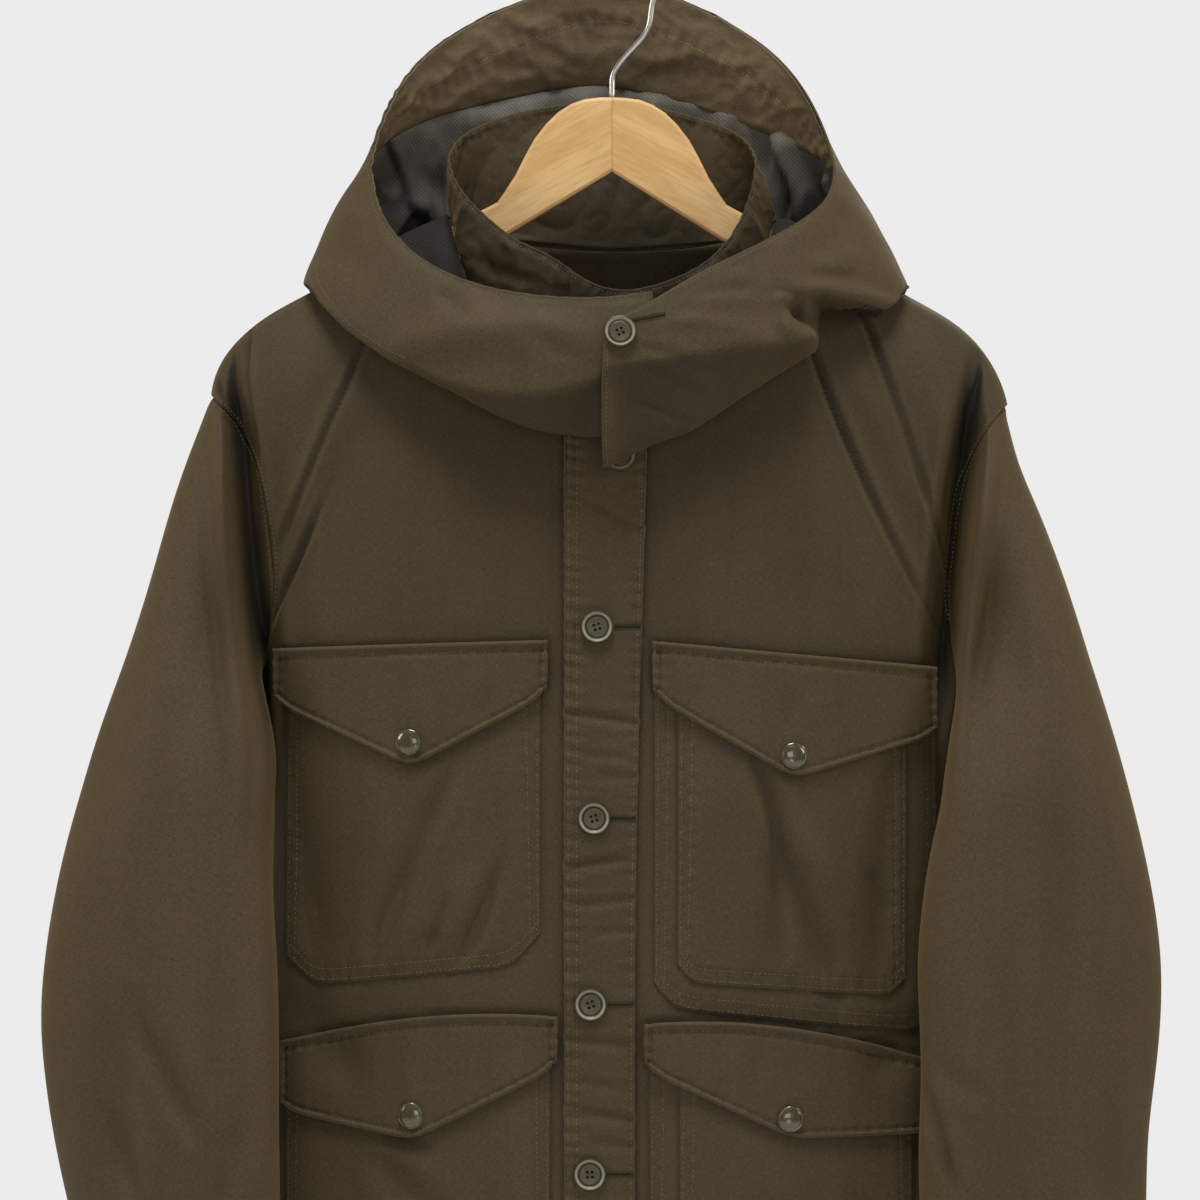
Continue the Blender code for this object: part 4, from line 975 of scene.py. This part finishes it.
# -------------------- pockets
# Patch pockets with chamfered lower corners, sewn on with two rows of stitches round three sides. On
# the wearer's left a smaller patch lies on each, sewn on the same way.
POCKET_ROWS = [(way, inset) for way in (RIGHT, LEFT, DOWN) for inset in (2.0, 8.5)]
POCKET_FOLDS = (
    (-88, -490, -150, -640, -4, 8, 4.0),
    (-62, -540, -100, -640, 3, 5.5, 3.6),
    (-96, -574, -112, -618, 0, 4, 2.0),
    (-122, -610, -82, -560, -4, 12, -2.0),
    (-196, -500, -176, -640, 0, 12, 3.0),
    (84, -486, 108, -580, 0, 6, 3.6),
    (101, -536, 142, -655, -4, 10, 5.6),
    (112, -520, 122, -640, 3, 9, -1.6),
    (92, -530, 98, -640, 3, 7, 4.2),
    (150, -560, 178, -600, 0, 7, 2.0),
    (172, -470, 160, -640, 0, 10, 2.4),
    (-150, -730, -90, -800, 4, 10, 2.4),
    (-80, -740, -60, -820, 0, 9, 1.8),
    (-150, -716, -100, -742, 4, 8, 2.6),
    (80, -740, 120, -820, -4, 10, 2.4),
    (140, -750, 170, -830, 3, 9, 2.0),
)


def settle(mesh, width, depth):
    """Let the border of a piece lie down on the cloth below it."""
    swell(mesh, (smooth(from_border(mesh) / width) - 1) * depth)


for node in ("chest_pocket_right", "chest_pocket_left", "chest_patch_left",
             "lower_pocket_right", "lower_pocket_left", "lower_patch_left"):
    mesh = sewn_on(node)
    press(mesh, POCKET_FOLDS, fade=14)
    rank, kind, side = node.split("_")
    over = [f"{rank}_flap_{side}"] + ([f"{rank}_patch_left"] if (kind, side) == ("pocket", "left") else [])
    # Painted shadow along the flap and the patch that lie over the pocket.
    shade_beside(mesh, over, gloom=0.5)
    rows = rows_along(cut_edges(mesh, reach=16), *POCKET_ROWS)
    settle(mesh, width=12, depth=1.5)
    draw_in(mesh, rows, groove=0.5, pucker=0.35, spread=4)
    piece = sew(node, mesh, thickness=0.7)
    thread(f"{node}_stitches", mesh, rows)

# -------------------- pocket flaps
# Two layers turned out along a rolled edge, which stitches hold down all round. The upper row sews
# the flap to the front.
ROLL = 3.6
FLAP_ROWS = ((UP, 6), (RIGHT, ROLL), (LEFT, ROLL), (DOWN, ROLL))
FLAP_FOLDS = (
    (110, -452, 104, -486, 0, 6, 0.9),
    (140, -460, 128, -484, 0, 5, 0.8),
    (-70, -450, -84, -478, 0, 7, 0.8),
    (90, -668, 82, -700, 0, 6, 0.8),
    (-90, -668, -102, -698, 0, 6, 0.8),
)


def roll(mesh, width, height):
    """Round the folded edge of a piece into a soft roll."""
    swell(mesh, height * np.sin(np.clip(from_border(mesh) / width, 0, 1) * math.pi))


for node in ("chest_flap_right", "chest_flap_left", "lower_flap_right", "lower_flap_left"):
    mesh = sewn_on(node)
    press(mesh, FLAP_FOLDS, fade=6)
    rows = rows_along(cut_edges(mesh), *FLAP_ROWS)
    roll(mesh, width=ROLL, height=1.4)
    draw_in(mesh, rows, groove=1.0, pucker=0.3, spread=4)
    piece = sew(node, mesh, thickness=1.5)
    thread(f"{node}_stitches", mesh, rows)

# -------------------- buttons
# Seven cast four-hole buttons with a polished rim, a groove and a hollowed middle, sewn on with dark
# thread. All but the placket's top one have a buttonhole: a slit between two rows of close stitches.
horn = Finish("horn_button")
place = horn.node("TexCoord", output=3)
swirl = horn.speckle(place, 260, 3, (1, 1, 2.5))
out = horn.node("SeparateXYZ", {}, {0: horn.node("UVMap", {"uv_map": "ring"})})
# Painted highlight and shade: the light band on the rim stands for its highlight, the dark groove and outer
# edge for the shade in them, over the button's own dark olive.
rings_and_painted_light = horn.node("ValToRGB", {"stops": ((0.0, (0.055, 0.050, 0.030)), (0.60, (0.082, 0.074, 0.045)),
                                         (0.66, (0.030, 0.027, 0.017)), (0.74, (0.026, 0.023, 0.014)),
                                         (0.82, (0.30, 0.275, 0.19)), (0.90, (0.26, 0.235, 0.16)),
                                         (0.96, (0.03, 0.027, 0.017)))}, {0: out})
horn.set(Base_Color=horn.mix(0.25 * swirl, rings_and_painted_light, (0.10, 0.088, 0.053)),
         Roughness=0.34 + 0.12 * swirl, Specular_IOR_Level=0.15, Coat_Weight=0.08, Coat_Roughness=0.08)
horn.relief(swirl, 0.0001, 0.2)

# radius and height of each point, from the middle of the top round to the middle of the bottom
BUTTON_PROFILE = ((0, 1.75), (4.6, 1.75), (5.3, 1.95), (5.9, 2.0), (6.4, 1.7), (7.0, 1.65), (7.5, 2.0),
                  (8.3, 2.75), (9.0, 3.0), (9.7, 2.75), (10.1, 2.1), (10.15, 1.4), (9.6, 0.7), (8.6, 0.2),
                  (0, 0.1))


def turned(profile, steps=64):
    """A round bmesh from radii and heights in millimetres."""
    bm = bmesh.new()
    verts = [bm.verts.new((radius * MM, 0, height * MM)) for radius, height in profile]
    edges = [bm.edges.new(pair) for pair in zip(verts, verts[1:])]
    bmesh.ops.spin(bm, geom=verts + edges, axis=(0, 0, 1), cent=(0, 0, 0), angle=math.tau,
                   steps=steps, use_merge=True)
    bmesh.ops.remove_doubles(bm, verts=bm.verts, dist=0.00001)
    bmesh.ops.recalc_face_normals(bm, faces=bm.faces)
    ring = bm.loops.layers.uv.new("ring")
    wide = profile[-3][0] * MM
    for face in bm.faces:
        for loop in face.loops:
            place = loop.vert.co
            loop[ring].uv = (math.hypot(place.x, place.y) / wide, math.atan2(place.y, place.x) / math.tau)
    return bm


HOLE_RING, HOLE_RADIUS, SEWN_RADIUS = 2.1 * MM, 0.85 * MM, 0.75 * MM
SEWN_HEIGHT = Vector((0, 0, 0.5 * MM))
blank = as_object("button_blank", turned(BUTTON_PROFILE))
drill, sewn = bmesh.new(), bmesh.new()
for quarter in range(4):
    turn = math.radians(45 + 90 * quarter)
    place = Vector((math.cos(turn), math.sin(turn), 0)) * HOLE_RING
    bmesh.ops.create_cone(drill, segments=20, radius1=HOLE_RADIUS, radius2=HOLE_RADIUS, depth=12 * MM,
                          cap_ends=True, matrix=Matrix.Translation(place))
    bmesh.ops.create_uvsphere(sewn, u_segments=10, v_segments=6, radius=SEWN_RADIUS,
                              matrix=Matrix.Translation(place + SEWN_HEIGHT))
cutter = as_object("button_drill", drill)
holes = blank.modifiers.new("holes", "BOOLEAN")
holes.object = cutter
holes.operation = "DIFFERENCE"
button_shape = finished(blank)
bpy.data.objects.remove(cutter)
stud_thread = as_object("stud_thread", sewn)


def seat_of(node):
    """Where a round CAD part sits: its middle, and the way it looks."""
    corners = points_of(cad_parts[node].data)
    middle = corners.mean(axis=0)
    spread = np.linalg.svd(corners - middle, full_matrices=False)[2]
    facing = Vector(spread[2])
    if facing.y > 0:
        facing.negate()
    heights = (corners - middle) @ np.array(facing)
    outline = (corners.min(axis=0) + corners.max(axis=0)) / 2
    centre = Vector(outline) + facing * (heights.min() - (outline - middle) @ np.array(facing))
    return centre, facing


def round_part(name, shape, node, spin, finish, slot):
    """A turned part where its CAD part sits, spun by some degrees."""
    seat, facing = seat_of(node)
    turn = facing.to_track_quat("Z", "Y").to_matrix().to_4x4() @ Matrix.Rotation(math.radians(spin), 4, "Z")
    mesh = shape.copy()
    mesh.name = name
    mesh.transform(Matrix.Translation(seat) @ turn)
    piece = piece_of(name, mesh, slot, finish)
    mesh.set_sharp_from_angle(angle=math.radians(38))
    return piece


# how far each button is turned, in degrees
SPINS = {"1": 30, "2": 17, "3": 15, "4": 20, "5": 2, "6": 12, "chin": 25}
for number, spin in SPINS.items():
    node = f"button_{number}"
    piece = round_part(f"{node}_horn", button_shape, node, spin, horn.material, "olive_button")
    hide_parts(node)
    round_part(f"{node}_thread", stud_thread.data, node, spin, dark_thread_and_slit_shade, "olive_shell")
bpy.data.objects.remove(stud_thread)


def hole_routes(face, x, z, length, slope=0.0):
    """The slit of a buttonhole, and the rows below and above it."""
    return [onto(face, [(x + step, z + aside + slope * step) for step in np.linspace(0, length, 12)])
            for aside in (0, -1.4, 1.4)]


HOLE_LENGTHS = {"2": 19, "3": 20, "4": 19, "5": 19, "6": 18}
HOLE_START = 9
CLOSE_STITCHES = {"pitch": 1.5, "length": 1.7, "width": 0.8, "height": 1.0, "upright": True}
placket_face = surface(placket.data)
loops, slits = [], []
for number, length in HOLE_LENGTHS.items():
    seat = seat_of(f"button_{number}")[0]
    x, z = seat.x / MM + HOLE_START, seat.z / MM
    slit, *sides = hole_routes(placket_face, x, z, length)
    far_end = onto(placket_face, [(x + length + 0.5, z + step) for step in (-2.2, 0, 2.2)])
    slits.append(slit)
    loops += [*sides, far_end]
hole_thread = twisted("hole_thread", (0.026, 0.030, 0.017))
thread("buttonhole_stitches", placket.data, loops, hole_thread, **CLOSE_STITCHES)
# Dark bars along each slit: painted shade in the opening.
thread("buttonhole_slits", placket.data, slits, dark_thread_and_slit_shade, pitch=1.0, length=1.6, width=1.5, height=0.6)
slit, *sides = hole_routes(surface(tab), x=11, z=-237.4, length=20, slope=0.2)
thread("chin_hole_stitches", tab, sides, hole_thread, **CLOSE_STITCHES)
# Dark bars along the chin tab's slit: painted shade in the opening.
thread("chin_hole_slit_shadow", tab, [slit], dark_thread_and_slit_shade, pitch=1.0, length=1.6, width=1.6, height=0.7)

# -------------------- snaps
# Domed brass caps under olive enamel, one at the tip of each flap. The studs below them, which go
# through the cloth, don't show.
enamel = Finish("snap_enamel")
place = enamel.node("TexCoord", output=3)
wear = enamel.speckle(place, 420, 3)
enamel.set(Base_Color=enamel.mix(enamel.span(wear, 0.5, 0.8), (0.062, 0.052, 0.016), (0.10, 0.083, 0.028)),
           Roughness=0.2 + 0.1 * wear, Metallic=0.25, Coat_Weight=1.0, Coat_Roughness=0.03)
enamel.relief(wear, 0.00005, 0.15)
SNAP_PROFILE = ((0, 2.7), (2, 2.62), (3.8, 2.38), (5.2, 1.98), (6.2, 1.5), (6.7, 1.15), (7.0, 1.1),
                (7.35, 1.2), (7.7, 0.95), (7.75, 0.55), (7.4, 0.15), (0, 0.1))
cap = as_object("cap", turned(SNAP_PROFILE))
for node in ("chest_snap_right", "chest_snap_left", "lower_snap_right", "lower_snap_left"):
    piece = round_part(f"{node}_cap", cap.data, node, 0, enamel.material, "olive_snap")
    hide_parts(node)
bpy.data.objects.remove(cap)

# -------------------- hanger
# A flat board of beech in two halves, mitred and glued in the middle and oiled. The hook is bent
# from steel wire.
beech = Finish("oiled_beech")
place = beech.node("TexCoord", output=3)
across, depth, height = (beech.node("SeparateXYZ", {}, {0: place}, axis) for axis in range(3))
out = beech.node("Math", {"operation": "ABSOLUTE"}, {0: across})
SLOPE = math.radians(27.6)
lengthwise = out * math.cos(SLOPE) - height * math.sin(SLOPE)
crosswise = out * math.sin(SLOPE) + height * math.cos(SLOPE)
side = beech.node("Math", {"operation": "SIGN"}, {0: across})
grain_place = beech.node("CombineXYZ", {}, {0: lengthwise + 0.7 * side, 1: depth, 2: crosswise})
figure = beech.speckle(grain_place, 14, 3, (1, 3, 9))
rays = beech.speckle(grain_place, 160, 2, (0.35, 4, 4))
pores = beech.speckle(grain_place, 900, 1.5, (0.12, 2, 2))
bands = beech.mix(beech.span(figure, 0.35, 0.68), (0.68, 0.40, 0.145), (0.80, 0.52, 0.22))
bands = beech.mix(0.35 * beech.span(rays, 0.45, 0.75), bands, (0.46, 0.25, 0.09))
joint = 1 - beech.span(out, 0.0, 0.0007)
bands = beech.mix(0.45 * joint, bands, (0.25, 0.12, 0.04))
pale = beech.mix(0.3 * beech.span(pores, 0.5, 0.8), bands, (0.82, 0.62, 0.36))
board_front = min(vert.co.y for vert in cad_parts["hanger_bar"].data.vertices)
plies = beech.span(depth, board_front + 0.0012, board_front + 0.003)
pale = beech.mix(0.7 * plies, pale, (0.30, 0.17, 0.07))
beech.set(Base_Color=pale, Roughness=0.42 + 0.16 * pores, Specular_IOR_Level=0.4, Coat_Weight=0.12,
          Coat_Roughness=0.3)
beech.relief(pores + 0.5 * rays - 2 * joint, 0.00012, 0.4)
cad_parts["hanger_bar"].data.materials[0] = beech.material

steel = Finish("bright_steel")
place = steel.node("TexCoord", output=3)
drawn = steel.speckle(place, 700, 2)
steel.set(Base_Color=steel.mix(drawn, (0.50, 0.48, 0.44), (0.66, 0.64, 0.60)), Metallic=1.0,
          Roughness=0.24 + 0.12 * drawn)
steel.relief(drawn, 0.00004, 0.2)
hook = piece_of("bent_hook", rounded(quads_of("hanger_hook"), rounds=3), "steel", steel.material)
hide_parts("hanger_hook")
